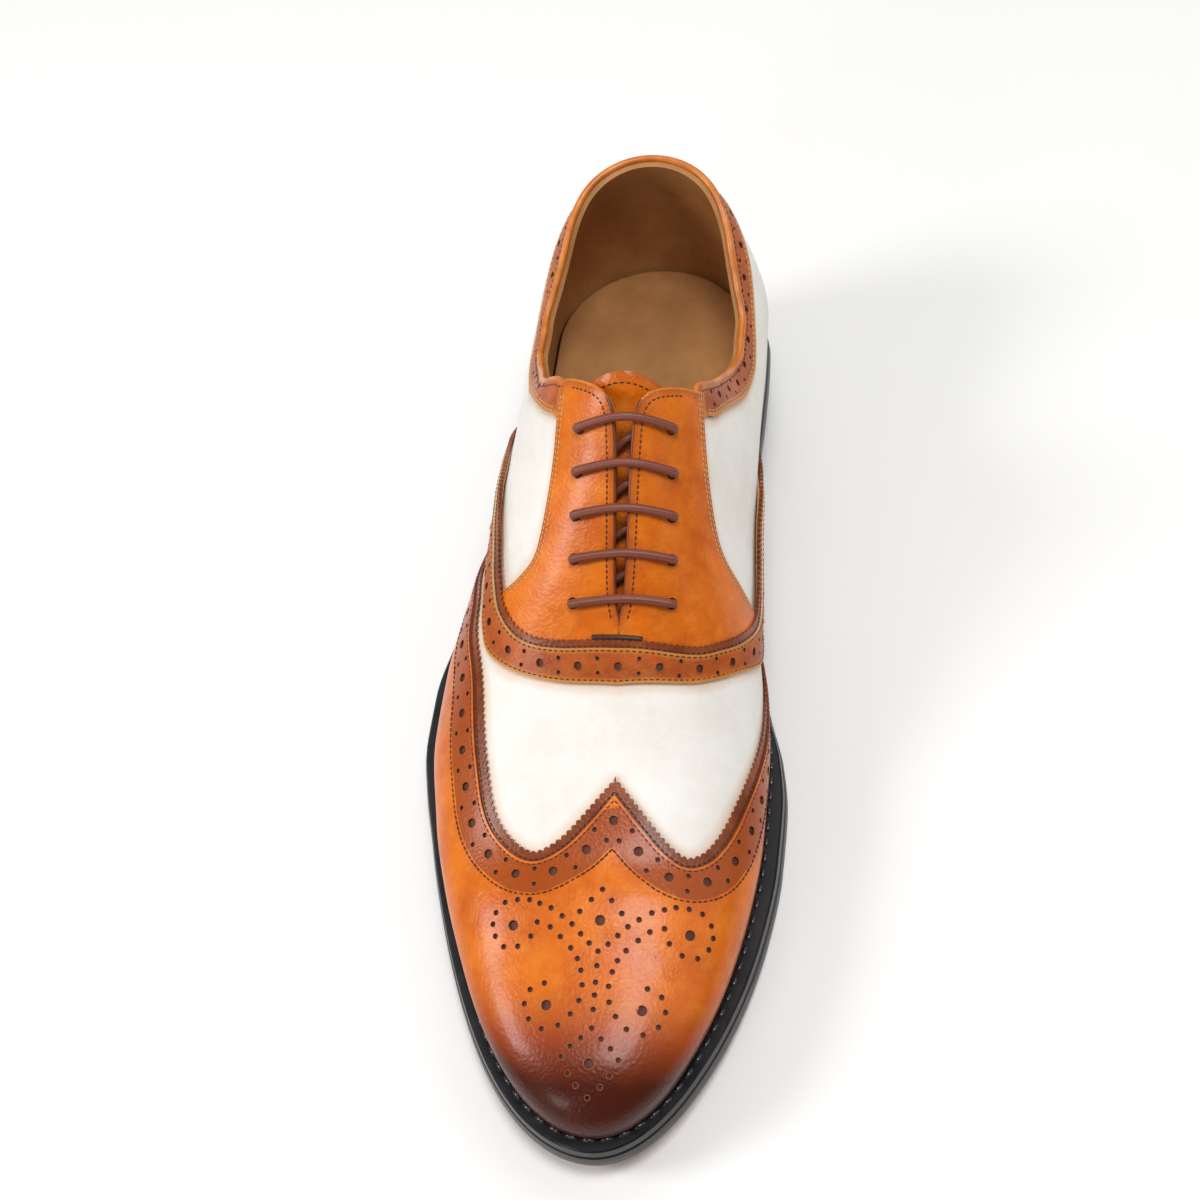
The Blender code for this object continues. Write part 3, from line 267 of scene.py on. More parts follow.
def onSkin(chart, spots, lift=0.0):
    # bilinear place on the skin grid, raised by lift along the normal; also gives the normals.
    # "ridge" charts hold (station angle, +-share from the ridge), "back" (+-angle, share from welt)
    u, v = spots[:, 0] / chartScale["along"], spots[:, 1] / chartScale["around"]
    if chart == "back":
        u, v = np.abs(u), np.where(u < 0, -1, 1) * (1 - v)
    i = np.clip(u / math.pi, 0, 1) * (skin.shape[0] - 1)
    j = (np.clip(v, -1, 1) + 1) / 2 * (skin.shape[1] - 1)
    i0 = np.minimum(i.astype(int), skin.shape[0] - 2)
    j0 = np.minimum(j.astype(int), skin.shape[1] - 2)
    a, b = (i - i0)[:, None], (j - j0)[:, None]
    place, normal = ((1 - a) * (1 - b) * g[i0, j0] + a * (1 - b) * g[i0 + 1, j0]
                     + (1 - a) * b * g[i0, j0 + 1] + a * b * g[i0 + 1, j0 + 1]
                     for g in (skin, skinNormal))
    normal = normal / np.linalg.norm(normal, axis=1)[:, None]
    return place + np.asarray(lift).reshape(-1, 1) * normal, normal


def smoothPath(points, pieces=12):
    # Catmull-Rom curve through the points
    points = np.array(points, float)
    padded = np.concatenate([2 * points[:1] - points[1:2], points, 2 * points[-1:] - points[-2:-1]])
    t = np.linspace(0, 1, pieces, endpoint=False)[:, None]
    made = [0.5 * (2 * b + (c - a) * t + (2 * a - 5 * b + 4 * c - d) * t ** 2
                   + (3 * b - a - 3 * c + d) * t ** 3)
            for a, b, c, d in zip(padded, padded[1:], padded[2:], padded[3:])]
    return np.concatenate(made + [points[-1:]])


def chartAngle(s):
    # station angle of a length share = arc cosine of 1 - 2s, in chart units
    return np.arccos(np.clip(1 - 2 * s, -1, 1)) * chartScale["along"]


def charted(side, points, chart="ridge"):
    # a pattern line as chart spots
    line = smoothPath(points)
    angle = chartAngle(line[:, 0])
    if chart == "back":
        return np.stack([side * angle, line[:, 1] * chartScale["around"]], 1)
    return np.stack([angle, side * (1 - np.minimum(line[:, 1], 1)) * chartScale["around"]], 1)


def spaced(chart, line, step):
    # the same line with its points evenly spaced on the leather, step mm apart
    arc = arcLength(onSkin(chart, line)[0])
    return pickedAt(np.linspace(0, arc[-1], max(2, int(round(arc[-1] / step)) + 1)), arc, line)


def resampled(line, count):
    # the same line with count points, spread evenly over its own
    return pickedAt(np.linspace(0, 1, count), np.linspace(0, 1, len(line)), line)


def moved(chart, spots, direction, distance):
    # walk from each spot over the skin, keeping a direction in space, for a distance in mm: least
    # squares step in the chart's two slopes, 0.7 mm at most at a time
    spots = np.array(spots, float)
    distance = np.broadcast_to(distance, len(spots)).astype(float)
    steps = max(1, int(math.ceil(np.abs(distance).max() / 0.7)))
    nudge = 0.05
    for _ in range(steps):
        du, dv = ((onSkin(chart, spots + way)[0] - onSkin(chart, spots - way)[0]) / (2 * nudge)
                  for way in ([nudge, 0], [0, nudge]))
        uu, uv, vv = (du * du).sum(1), (du * dv).sum(1), (dv * dv).sum(1)
        ru, rv = (du * direction).sum(1), (dv * direction).sum(1)
        fall = uu * vv - uv * uv
        fall = np.where(np.abs(fall) < 1e-9, 1e-9, fall)
        spots = spots + (distance / steps)[:, None] * np.stack(
            [(vv * ru - uv * rv) / fall, (uu * rv - uv * ru) / fall], 1)
    return spots


def beside(chart, line, distance):
    # a parallel line: each point walks sideways, to the left of the line seen from outside
    place, normal = onSkin(chart, line)
    sideways = np.cross(normal, np.gradient(place, axis=0))
    sideways /= np.linalg.norm(sideways, axis=1)[:, None] + 1e-12
    return moved(chart, line, sideways, distance)


def toRidge(line, side):
    # cut or lengthen a line so that it ends on the ridge
    kept = line[side * line[:, 1] > 0.05]
    ahead = kept[-1] - kept[-4]
    reach = -kept[-1, 1] / ahead[1] if abs(ahead[1]) > 1e-6 else 0
    return np.concatenate([kept, [[kept[-1, 0] + ahead[0] * reach, 0.0]]])


def scalloped(chart, line, pitch, depth):
    # a pinked edge: rounded teeth, depth x |sin| of the way along
    line = spaced(chart, line, pitch / 8)
    wave = np.abs(np.sin(np.arange(len(line)) * math.pi / 8))
    return beside(chart, line, depth * wave)


def spokes(normal, count):
    # unit vectors square to each normal, turned evenly round it
    a = np.cross(normal, [0.0, 0.2, 1.0])
    a /= np.linalg.norm(a, axis=1)[:, None]
    b = np.cross(normal, a)
    turn = np.linspace(0, 2 * math.pi, count, endpoint=False)
    return np.cos(turn)[None, :, None] * a[:, None] + np.sin(turn)[None, :, None] * b[:, None]


def discs(chart, centres, radius, count=12):
    # a ring of points round each centre, radius mm in the leather's own plane
    way = spokes(onSkin(chart, centres)[1], count)
    around = np.repeat(centres, count, axis=0)
    return moved(chart, around, way.reshape(-1, 3), radius).reshape(len(centres), count, 2)


def insideOf(polygon, spots):
    # even-odd rule for many spots at once
    x, y = spots[:, 0, None], spots[:, 1, None]
    x0, y0 = polygon[:, 0][None], polygon[:, 1][None]
    x1, y1 = np.roll(polygon[:, 0], -1)[None], np.roll(polygon[:, 1], -1)[None]
    crosses = (y0 > y) != (y1 > y)
    at = x0 + (y - y0) / np.where(crosses, y1 - y0, 1) * (x1 - x0)
    return (crosses & (x < at)).sum(1) % 2 == 1


def nearest(points, others, chunk=4000):
    # distance from each point to the closest of the others
    made = []
    for k in range(0, len(points), chunk):
        gap = points[k:k + chunk, None] - others[None]
        made.append(np.sqrt((gap ** 2).sum(2).min(1)))
    return np.concatenate(made)


def smoothStep(x):
    # 3x^2 - 2x^3 between 0 and 1, flat outside
    x = np.clip(x, 0, 1)
    return x * x * (3 - 2 * x)


def newPiece(name, points, faces, materials, replaces=(), normals=None, groups=None,
             fields=None, sharp=None):
    # a mesh piece of the shoe: points in mm, faces as arrays or lists, a material index for each
    mesh = bpy.data.meshes.new(name)
    lists = (block if isinstance(block, list) else block.tolist() for block in faces)
    mesh.from_pydata((np.asarray(points) * mm).tolist(), [],
                     [face for block in lists for face in block])
    for material in materials:
        mesh.materials.append(material)
    index = np.concatenate([np.full(len(block), 0 if groups is None else groups[k], np.int32)
                            for k, block in enumerate(faces)])
    mesh.polygons.foreach_set("material_index", index)
    mesh.polygons.foreach_set("use_smooth", np.ones(len(index), bool))
    for key, values in (fields or {}).items():
        mesh.attributes.new(key, "FLOAT", "POINT").data.foreach_set(
            "value", np.asarray(values, np.float32))
    mesh.update()
    if sharp is not None:
        mesh.set_sharp_from_angle(angle=math.radians(sharp))
    if normals is not None:
        mesh.normals_split_custom_set(np.concatenate([n.reshape(-1, 3) for n in normals]).tolist())
    piece = bpy.data.objects.new(name, mesh)
    bpy.context.scene.collection.objects.link(piece)
    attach(piece, "root")
    if replaces:
        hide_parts(*replaces)
    return piece


def gridFaces(rows, columns, closeRows=False, closeColumns=False, start=0):
    # quads of a grid stored row by row
    i = np.arange(rows if closeRows else rows - 1)
    j = np.arange(columns if closeColumns else columns - 1)
    i, j = (x.ravel() for x in np.meshgrid(i, j, indexing="ij"))
    i2, j2 = (i + 1) % rows, (j + 1) % columns
    return np.stack([i * columns + j, i * columns + j2, i2 * columns + j2, i2 * columns + j],
                    1) + start


def welded(points, blocks, apart=1e-3):
    # points closer than that become one; faces that lose too many corners are left out
    _, first, back = np.unique(np.round(points / apart).astype(np.int64), axis=0,
                               return_index=True, return_inverse=True)
    back = back.ravel()
    made = [[[p for k, p in enumerate(face) if p != face[k - 1]] for face in back[block].tolist()]
            for block in blocks]
    return points[first], [[face for face in block if len(face) > 2] for block in made], back


def leather(name, chart, outline, look, high, low=0.3, holes=(), pitch=2.2, replaces=(),
            depth=0.8, fields=None):
    # A flat cut of leather laid on the last: its outline and punched holes are triangulated in the
    # chart with a lattice of points between them, raised to high, with walls down to low, a floor
    # in each hole and an underside. high is mm or a function of (places, spots).
    ring = [np.asarray(outline, float)]
    centres = np.zeros((0, 2))
    for spots, radius in holes:
        ring += list(discs(chart, spots, radius))
        centres = np.concatenate([centres, spots])
    reach = np.concatenate([np.full(len(spots), radius) for spots, radius in holes] + [[]])
    edges, spots, start = [], np.concatenate(ring), 0
    for loop in ring:
        edges += [(start + k, start + (k + 1) % len(loop)) for k in range(len(loop))]
        start += len(loop)
    lowest, highest = ring[0].min(0), ring[0].max(0)
    x, y = np.meshgrid(np.arange(lowest[0], highest[0], pitch),
                       np.arange(lowest[1], highest[1], pitch * 0.87))
    x[1::2] += pitch / 2
    lattice = np.stack([x.ravel(), y.ravel()], 1)
    lattice = lattice[insideOf(ring[0], lattice)]
    lattice = lattice[nearest(lattice, spots) > pitch * 0.45]
    if len(centres):
        hole3d = onSkin(chart, centres)[0]
        away = np.array([np.linalg.norm(hole3d - p, axis=1) for p in onSkin(chart, lattice)[0]])
        lattice = lattice[(away > reach * 1.15).all(1)]
    everything = np.concatenate([spots, centres, lattice])
    made = delaunay_2d_cdt([Vector(p) for p in everything], edges, [], 0, 1e-5)
    flat = np.array([tuple(p) for p in made[0]])
    faces = np.array([face for face in made[2] if len(face) == 3])
    middle = flat[faces].mean(1)
    faces = faces[insideOf(ring[0], middle)]
    ground, normal = onSkin(chart, flat)
    _, first, back = np.unique(np.round(ground * 1000).astype(np.int64), axis=0,
                               return_index=True, return_inverse=True)
    flat, ground, normal, faces = flat[first], ground[first], normal[first], back.ravel()[faces]
    faces = faces[(faces[:, 0] != faces[:, 1]) & (faces[:, 1] != faces[:, 2])
                  & (faces[:, 2] != faces[:, 0])]
    corner = ground[faces]
    turn = np.cross(corner[:, 1] - corner[:, 0], corner[:, 2] - corner[:, 0])
    if ((turn * normal[faces].sum(1)).sum(1) < 0).mean() > 0.5:
        faces = faces[:, ::-1]  # the chart's own turn is the same all over
    inHole = np.zeros(len(faces), bool)
    if len(centres):
        gap = np.array([np.linalg.norm(hole3d - p, axis=1) for p in corner.mean(1)])
        inHole = (gap < reach * 0.8).any(1)
    top, floor = faces[~inHole], faces[inHole]
    edge = np.concatenate([top[:, [0, 1]], top[:, [1, 2]], top[:, [2, 0]]])
    count = len(ground)
    shared = np.isin(edge[:, 0] * count + edge[:, 1], edge[:, 1] * count + edge[:, 0])
    edge = edge[~shared]
    atHole = np.isin(edge, floor).all(1) if len(floor) else np.zeros(len(edge), bool)
    raised = high(ground, flat) if callable(high) else np.full(count, float(high))
    levels = [ground + raised[:, None] * normal, ground + low * normal,
              ground + np.maximum(raised - depth, low + 0.05)[:, None] * normal]
    points = np.concatenate(levels)
    rim, well = edge[~atHole], edge[atHole]
    walls = np.stack([rim[:, 1], rim[:, 0], rim[:, 0] + count, rim[:, 1] + count], 1)
    wells = np.stack([well[:, 1], well[:, 0], well[:, 0] + 2 * count, well[:, 1] + 2 * count], 1)
    under = faces[:, ::-1] + count
    # the holes' walls and floor take the look's third material, the dark brown painted shade
    blocks = [top, walls, wells, floor + 2 * count, under]

    def across(lines):
        # a wall's normal: its edge crossed with the leather's normal, the same at all 4 corners
        way = np.cross(ground[lines[:, 1]] - ground[lines[:, 0]], normal[lines].mean(1))
        way /= np.linalg.norm(way, axis=1)[:, None] + 1e-12
        return np.repeat(way[:, None], 4, 1)

    normals = [normal[top], across(rim), across(well), normal[floor], -normal[faces[:, ::-1]]]
    used = np.unique(np.concatenate([b.ravel() for b in blocks]))
    renumber = np.zeros(len(points), np.int64)
    renumber[used] = np.arange(len(used))
    values = {"edge": np.minimum(nearest(ground, onSkin(chart, ring[0])[0]), 30)}
    values.update({key: make(ground, flat) for key, make in (fields or {}).items()})
    values = {key: np.tile(v, 3)[used] for key, v in values.items()}
    piece = newPiece(name, points[used], [renumber[b] for b in blocks], look, replaces,
                     normals, [0, 1, 2, 2, 1], values)
    print(f"stage: {name}, {len(top)} top faces")
    return piece


# Colours and materials

def shade(hexColour):
    # sRGB hex to linear light
    parts = [int(hexColour[k:k + 2], 16) / 255 for k in (1, 3, 5)]
    return (*(c / 12.92 if c <= 0.04045 else ((c + 0.055) / 1.055) ** 2.4 for c in parts), 1.0)


def put(tree, kind, inputs=None, stops=None, **settings):
    # add a node: settings are its properties, inputs are values or other nodes' outputs
    made = tree.nodes.new(kind)
    for key, value in settings.items():
        setattr(made, key, value)
    if stops:
        for k, (at, colour) in enumerate(stops):
            element = made.color_ramp.elements[k] if k < 2 else made.color_ramp.elements.new(at)
            element.position = at
            element.color = shade(colour) if isinstance(colour, str) else (colour,) * 3 + (1.0,)
    for key, value in (inputs or {}).items():
        if isinstance(value, bpy.types.NodeSocket):
            tree.links.new(value, made.inputs[key])
        else:
            made.inputs[key].default_value = value
    return made


def newMaterial(name, colour, **values):
    # a Principled material; its single values stay on the shader's own sockets
    material = bpy.data.materials.new(name)
    material.use_nodes = True
    tree = material.node_tree
    shader = tree.nodes["Principled BSDF"]
    shader.inputs["Base Color"].default_value = shade(colour)
    for key, value in values.items():
        shader.inputs[key].default_value = value
    return material, tree, shader


def millimetres(tree):
    # the object's own coordinates, in mm
    where = put(tree, "ShaderNodeTexCoord")
    return put(tree, "ShaderNodeVectorMath", {0: where.outputs["Object"], 1: (1000, 1000, 1000)},
               operation="MULTIPLY").outputs[0]


def blendColour(tree, factor, first, second):
    # (1 - factor) x first + factor x second
    return put(tree, "ShaderNodeMix", {0: factor, 6: first, 7: second},
               data_type="RGBA").outputs[2]


def calf(name, look):
    # Calf leather, stained and polished by hand: clouds of dye, a fine pore grain, a colour that
    # follows the cut edge and a darker burnish where the maker rubbed it in
    material, tree, shader = newMaterial(name, look["base"], **look["shader"])
    mmPlace = millimetres(tree)
    cloud = put(tree, "ShaderNodeTexNoise", {"Vector": mmPlace, "Scale": 1 / look["cloud"],
                                             "Detail": 4.0, "Roughness": 0.55})
    cloudy = put(tree, "ShaderNodeValToRGB", {0: cloud.outputs[0]},
                 stops=[(0.36, 0.0), (0.66, 1.0)])
    colour = blendColour(tree, cloudy.outputs[0], shade(look["deep"]), shade(look["base"]))
    fleck = put(tree, "ShaderNodeTexNoise", {"Vector": mmPlace, "Scale": 1 / look["fleck"],
                                             "Detail": 6.0, "Roughness": 0.65})
    flecked = put(tree, "ShaderNodeValToRGB", {0: fleck.outputs[0]},
                  stops=[(0.45, 0.0), (0.75, look["fleckAmount"])])
    colour = blendColour(tree, flecked.outputs[0], colour, shade(look["light"]))
    wobble = put(tree, "ShaderNodeMath", {0: cloud.outputs[0], 1: look["edgeWobble"]},
                 operation="MULTIPLY")
    for field, scale, stops, stain in look["stains"]:
        read = put(tree, "ShaderNodeAttribute", attribute_name=field)
        amount = put(tree, "ShaderNodeMath", {0: read.outputs["Fac"], 1: 1 / scale},
                     operation="MULTIPLY")
        amount = put(tree, "ShaderNodeMath", {0: amount.outputs[0], 1: wobble.outputs[0]})
        ramp = put(tree, "ShaderNodeValToRGB", {0: amount.outputs[0]}, stops=stops)
        colour = blendColour(tree, ramp.outputs[0], colour, shade(stain))
    tree.links.new(colour, shader.inputs["Base Color"])
    pore = put(tree, "ShaderNodeTexVoronoi", {"Vector": mmPlace, "Scale": 1 / look["pore"]},
               feature="SMOOTH_F1")
    grain = put(tree, "ShaderNodeTexNoise", {"Vector": mmPlace, "Scale": 1 / look["grain"],
                                             "Detail": 5.0, "Roughness": 0.6, "Distortion": 0.6})
    relief = put(tree, "ShaderNodeMath", {0: pore.outputs[0], 1: grain.outputs[0]})
    tooth = put(tree, "ShaderNodeBump", {"Height": relief.outputs[0], "Distance": look["relief"],
                                         "Strength": look["bump"]})
    tree.links.new(tooth.outputs[0], shader.inputs["Normal"])
    rub = put(tree, "ShaderNodeMapRange", {0: cloud.outputs[0], 3: look["rough"][0],
                                           4: look["rough"][1]})
    tree.links.new(rub.outputs[0], shader.inputs["Roughness"])
    return material


def speckled(name, dark, light, size, rough, relief=0.00003, **values):
    # a plain finish with a fine uneven tone and tooth: noise of size mm picks between two shades
    material, tree, shader = newMaterial(name, dark, Roughness=rough, **values)
    noise = put(tree, "ShaderNodeTexNoise", {"Vector": millimetres(tree), "Scale": 1 / size,
                                             "Detail": 3.0})
    tint = put(tree, "ShaderNodeValToRGB", {0: noise.outputs[0]},
               stops=[(0.35, dark), (0.65, light)])
    tree.links.new(tint.outputs[0], shader.inputs["Base Color"])
    tooth = put(tree, "ShaderNodeBump", {"Height": noise.outputs[0], "Distance": relief,
                                         "Strength": 0.5})
    tree.links.new(tooth.outputs[0], shader.inputs["Normal"])
    return material


tanLook = {
    "base": "#E27408", "deep": "#C65A02", "light": "#EE9634", "cloud": 16.0, "fleck": 5.0,
    "fleckAmount": 0.35, "edgeWobble": 0.25, "pore": 0.9, "grain": 1.3, "relief": 0.00022,
    "bump": 0.5, "rough": (0.26, 0.38),
    "shader": {"Coat Weight": 0.15, "Coat Roughness": 0.16, "Specular IOR Level": 0.25},
    "stains": [("edge", 8.0, [(0.10, 0.6), (0.45, 0.0)], "#96400F")]}
burnished = [("burnish", 1.0, [(0.15, 0.0), (0.62, 0.85)], "#8E3009"),
             ("burnish", 1.0, [(0.62, 0.0), (1.15, 0.95)], "#3E1003")]
capLook = dict(tanLook, stains=[("band", 4.9, [(0.95, 0.85), (1.2, 0.0)], "#97400F")] + burnished)
bandLook = dict(tanLook, base="#B85618", deep="#98400E", light="#D4843C", fleckAmount=0.3,
                rough=(0.34, 0.44), shader={"Coat Weight": 0.05, "Specular IOR Level": 0.2},
                stains=[("edge", 5.0, [(0.05, 1.0), (0.5, 0.0)], "#D08A3A")])
gimpLook = dict(tanLook, base="#8A4018", deep="#6E2E0E", light="#AE6A34", fleckAmount=0.3,
                stains=[])
whiteLook = dict(
    tanLook, base="#F0ECE5", deep="#E8E2D8", light="#F9F6F1", fleckAmount=0.4, cloud=24.0,
    edgeWobble=0.16, pore=1.1, grain=0.8, relief=0.00014, bump=0.4, rough=(0.42, 0.52),
    shader={"Coat Weight": 0.05, "Coat Roughness": 0.3, "Specular IOR Level": 0.3},
    stains=[("halo", 9.0, [(0.02, 0.6), (0.5, 0.0)], "#D8A063")])
liningLook = dict(
    tanLook, base="#B98350", deep="#A6713F", light="#C99862", fleckAmount=0.2, rough=(0.5, 0.6),
    shader={"Coat Weight": 0.02, "Specular IOR Level": 0.2},
    stains=[("edge", 6.0, [(0.0, 0.0), (1.0, 0.05)], "#8A5A30")])

tan = calf("aniline_calf_tan_hand_polished", tanLook)
capTan = calf("aniline_calf_tan_burnished_toe", capLook)
brown = calf("aniline_calf_brown_hand_polished", bandLook)
gimp = calf("aniline_calf_brown_pinked", gimpLook)
white = calf("calf_off_white_fine_grain", whiteLook)
lining = calf("lining_calf_natural", liningLook)
# Cut edges of calf: stained, or left raw, with the fibres as a soft fleck
rawEdge = speckled("leather_cut_edge_stained", "#6E3214", "#8A4420", 0.5, 0.55)
paleEdge = speckled("leather_cut_edge_raw", "#CDA877", "#E6C59C", 0.5, 0.6)
# Punched holes: the dark brown of each hole's walls and floor is painted shade, the shadow down the
# hole, over a speckle of matt fibres; a rim that the punch pressed smooth
punchFloorShade = speckled("punched_hole_floor_painted_shade", "#4A2211", "#6A341D", 0.4, 0.7)
punchRim = speckled("punched_hole_rim_polished", "#8A4518", "#A65A26", 0.4, 0.35)
# Threads: twisted polyester with a slight sheen, and waxed linen
darkThread = speckled("polyester_thread_dark_brown", "#2E1108", "#48200F", 0.25, 0.45)
creamThread = speckled("linen_thread_honey", "#BB9056", "#D6B078", 0.25, 0.6)
print("stage: leather materials")


# Pattern lines on the last
footLimit = 88.0  # how far a chart line runs down to the welt, in chart units of 90


def clipped(line):
    # keep a line's spots above the foot limit on both sides
    return np.stack([line[:, 0], np.clip(line[:, 1], -footLimit, footLimit)], 1)


def trimmed(outline, apart=0.02):
    # leave out points that repeat the one before
    keep = np.linalg.norm(outline - np.roll(outline, 1, axis=0), axis=1) > apart
    return outline[keep]


wing = {"strip": 2.6, "band": 9.8, "tooth": 2.0, "toothDepth": 0.8, "stitch": 1.7,
        "bigHole": 1.45, "smallHole": 0.8, "holePitch": 11.3, "pairGap": 4.6, "top": 1.5}


def laid(pattern):
    # a pattern's two lines on the last, each up to the ridge
    return {k: toRidge(spaced("ridge", charted(k, pattern[k]), 0.6), k) for k in (-1, 1)}


def inset(lines, distance):
    # lines parallel to these, distance mm inside them, each up to the ridge
    return {k: toRidge(beside("ridge", lines[k], k * distance), k) for k in (-1, 1)}


def punching(chart, lines, look, share=0.94, short=0.0):
    # big holes along a band, the first one in the middle of the shoe, with a pair of small ones
    # between, up to a share of the line less short mm. Ridge lines end in the middle of the shoe.
    big, small, fine = [], [], 0.25
    for k, line in lines.items():
        line = spaced(chart, line[::-1] if chart == "ridge" else line, fine)
        count = int(len(line) * share) - int(short / fine)
        step = int(look["holePitch"] / fine)
        hasMiddle = (k < 0) == (chart == "ridge")
        big.append(line[0 if hasMiddle else step:count:step])
        for way in (-1, 1):
            row = beside(chart, line, way * look["pairGap"] / 2)
            small.append(row[step // 2:count:step])
    return np.concatenate(big), np.concatenate(small)


wingGimp = laid(wingEdge)
wingClean = inset(wingGimp, wing["strip"])
wingStitch = inset(wingGimp, wing["strip"] + wing["band"])
wingBig, wingSmall = punching("ridge", inset(wingGimp, wing["strip"] + wing["band"] * 0.47), wing)

# Punched flower on the toe: (across, ahead of the shoe's middle) in mm, mirrored over the ridge
flower = {
    "big": [(0, 92.2), (24.3, 93.9), (12.9, 115.8), (0, 130.6)],
    "small": [
        (0, 83.9), (0, 100.5), (0, 104.5), (0, 109.1), (0, 112.6), (0, 116.5), (0, 121.5),
        (0, 138.4), (2.8, 86.8), (5.8, 90.1), (7.7, 93.5), (5.1, 96.0), (2.6, 98.4), (10.6, 91.4),
        (13.9, 89.3), (17.2, 88.1), (20.2, 87.1), (23.7, 87.0), (27.2, 87.6), (29.6, 90.2),
        (30.2, 93.3), (29.2, 96.6), (26.5, 99.6), (22.5, 99.6), (19.0, 96.9), (17.5, 93.1),
        (13.7, 94.4), (10.7, 96.9), (7.6, 99.9), (5.5, 102.8), (4.3, 106.0), (3.6, 110.0),
        (4.1, 114.3), (6.1, 118.0), (9.2, 121.1), (2.7, 124.2), (5.4, 126.5), (7.6, 129.2),
        (5.5, 133.1), (3.2, 135.9), (14.0, 109.8), (17.8, 111.6), (19.0, 115.4), (17.4, 119.5),
        (13.6, 122.1)],
    "bigHole": 1.5, "smallHole": 0.82}


def fromPlan(spots):
    # chart spots straight under points of the plan: closest grid point, then three Newton steps
    spots = np.array(spots, float)
    spots = np.concatenate([spots, spots[spots[:, 0] > 0] * [-1, 1]])
    plan = np.stack([spots[:, 0] - centreX, -spots[:, 1]], 1)
    upward = skin[:, skin.shape[1] // 6:-(skin.shape[1] // 6)]
    gap = np.linalg.norm(upward[None, :, :, :2] - plan[:, None, None], axis=3)
    gap = gap.reshape(len(plan), -1).argmin(1)
    i, j = np.unravel_index(gap, upward.shape[:2])
    chart = np.stack([i / (skin.shape[0] - 1) * math.pi * chartScale["along"],
                      ((j + skin.shape[1] // 6) / (skin.shape[1] - 1) * 2 - 1)
                      * chartScale["around"]], 1)
    nudge = 0.1
    for _ in range(3):
        here = onSkin("ridge", chart)[0][:, :2]
        du, dv = ((onSkin("ridge", chart + way)[0][:, :2] - here) / nudge
                  for way in ([nudge, 0], [0, nudge]))
        miss = plan - here
        fall = du[:, 0] * dv[:, 1] - du[:, 1] * dv[:, 0]
        fall = np.where(np.abs(fall) < 1e-6, 1e-6, fall)
        chart = chart + np.stack([(miss[:, 0] * dv[:, 1] - miss[:, 1] * dv[:, 0]) / fall,
                                  (du[:, 0] * miss[:, 1] - du[:, 1] * miss[:, 0]) / fall], 1)
    return chart


flowerBig, flowerSmall = fromPlan(flower["big"]), fromPlan(flower["small"])

toeSeam = math.pi * chartScale["along"]
seamSpots = np.stack([np.full(61, toeSeam), np.linspace(footLimit, -footLimit, 61)], 1)


def footRun(start, end, v):
    # a straight line along the welt, a point every 2.5 chart units
    u = np.linspace(start, end, max(2, int(abs(end - start) / 2.5)))
    return np.stack([u, np.full(len(u), v)], 1)


def toeShade(places, spots):
    # burnish: 0 behind the toe cap's wings to 1 at the tip, more on the sides near the welt
    ahead = smoothStep((-places[:, 1] - 104) / 40)
    side = smoothStep((np.abs(spots[:, 1]) - 50) / 40) * smoothStep((-places[:, 1] - 75) / 50)
    low = smoothStep((np.abs(spots[:, 1]) - 70) / 22) * 0.3
    return np.clip(ahead + 0.45 * side + low, 0, 1.2)


clean = clipped(np.concatenate([wingClean[-1], wingClean[1][::-1][1:]]))
capOutline = trimmed(np.concatenate([
    clean, footRun(clean[-1, 0] + 2, toeSeam - 2, footLimit), seamSpots,
    footRun(toeSeam - 2, clean[0, 0] + 2, -footLimit)]))
stitchPlaces = onSkin("ridge", np.concatenate([wingStitch[-1], wingStitch[1]]))[0]


def capHeight(places, spots):
    # thickness of the cap: full, with a shallow groove where the stitches pull it down
    return wing["top"] - 0.4 * np.exp(-(nearest(places, stitchPlaces) / 0.7) ** 2)


bandMiddle = inset(wingGimp, wing["strip"] + wing["band"] / 2)
bandPlaces = onSkin("ridge", np.concatenate([bandMiddle[-1], bandMiddle[1]]))[0]
leather(
    "wingCap", "ridge", capOutline, [capTan, rawEdge, punchFloorShade], capHeight,
    holes=[(wingBig, wing["bigHole"]), (wingSmall, wing["smallHole"]),
           (flowerBig, flower["bigHole"]), (flowerSmall, flower["smallHole"])],
    pitch=2.0, replaces=["wing_cap"],
    fields={"burnish": toeShade, "band": lambda places, spots: nearest(places, bandPlaces)})


def bandRing(upper, lower):
    # outline of a band over the ridge, out along one pair of lines and back along the other
    return np.concatenate([upper[-1], upper[1][::-1][1:], lower[1], lower[-1][::-1][1:]])


def gimpStrip(name, lines, look, high, low):
    # a strip with a pinked outer edge, tucked under the clean edge of the leather on top of it
    outer = {k: toRidge(scalloped("ridge", lines[k], look["tooth"], -k * look["toothDepth"]), k)
             for k in (-1, 1)}
    inner = inset(lines, look["strip"] + 1.2)
    return leather(name, "ridge", trimmed(clipped(bandRing(outer, inner))),
                   [gimp, gimp, punchFloorShade], high, low, pitch=2.0)


gimpStrip("wingGimpStrip", wingGimp, wing, 0.85, 0.3)
print("stage: toe cap")


# Threads, beads and cords

def stitchSpots(chart, line, pitch, lift):
    # middle, direction and normal of each stitch along a line
    place, normal = onSkin(chart, spaced(chart, line, pitch), lift)
    return (place[1:] + place[:-1]) / 2, place[1:] - place[:-1], normal[1:] + normal[:-1]


def stitchRows(lines, away, pitch, lift):
    # a row of stitches on each side, away mm inside the lines
    rows = inset(lines, away)
    return [stitchSpots("ridge", rows[k], pitch, lift) for k in (-1, 1)]


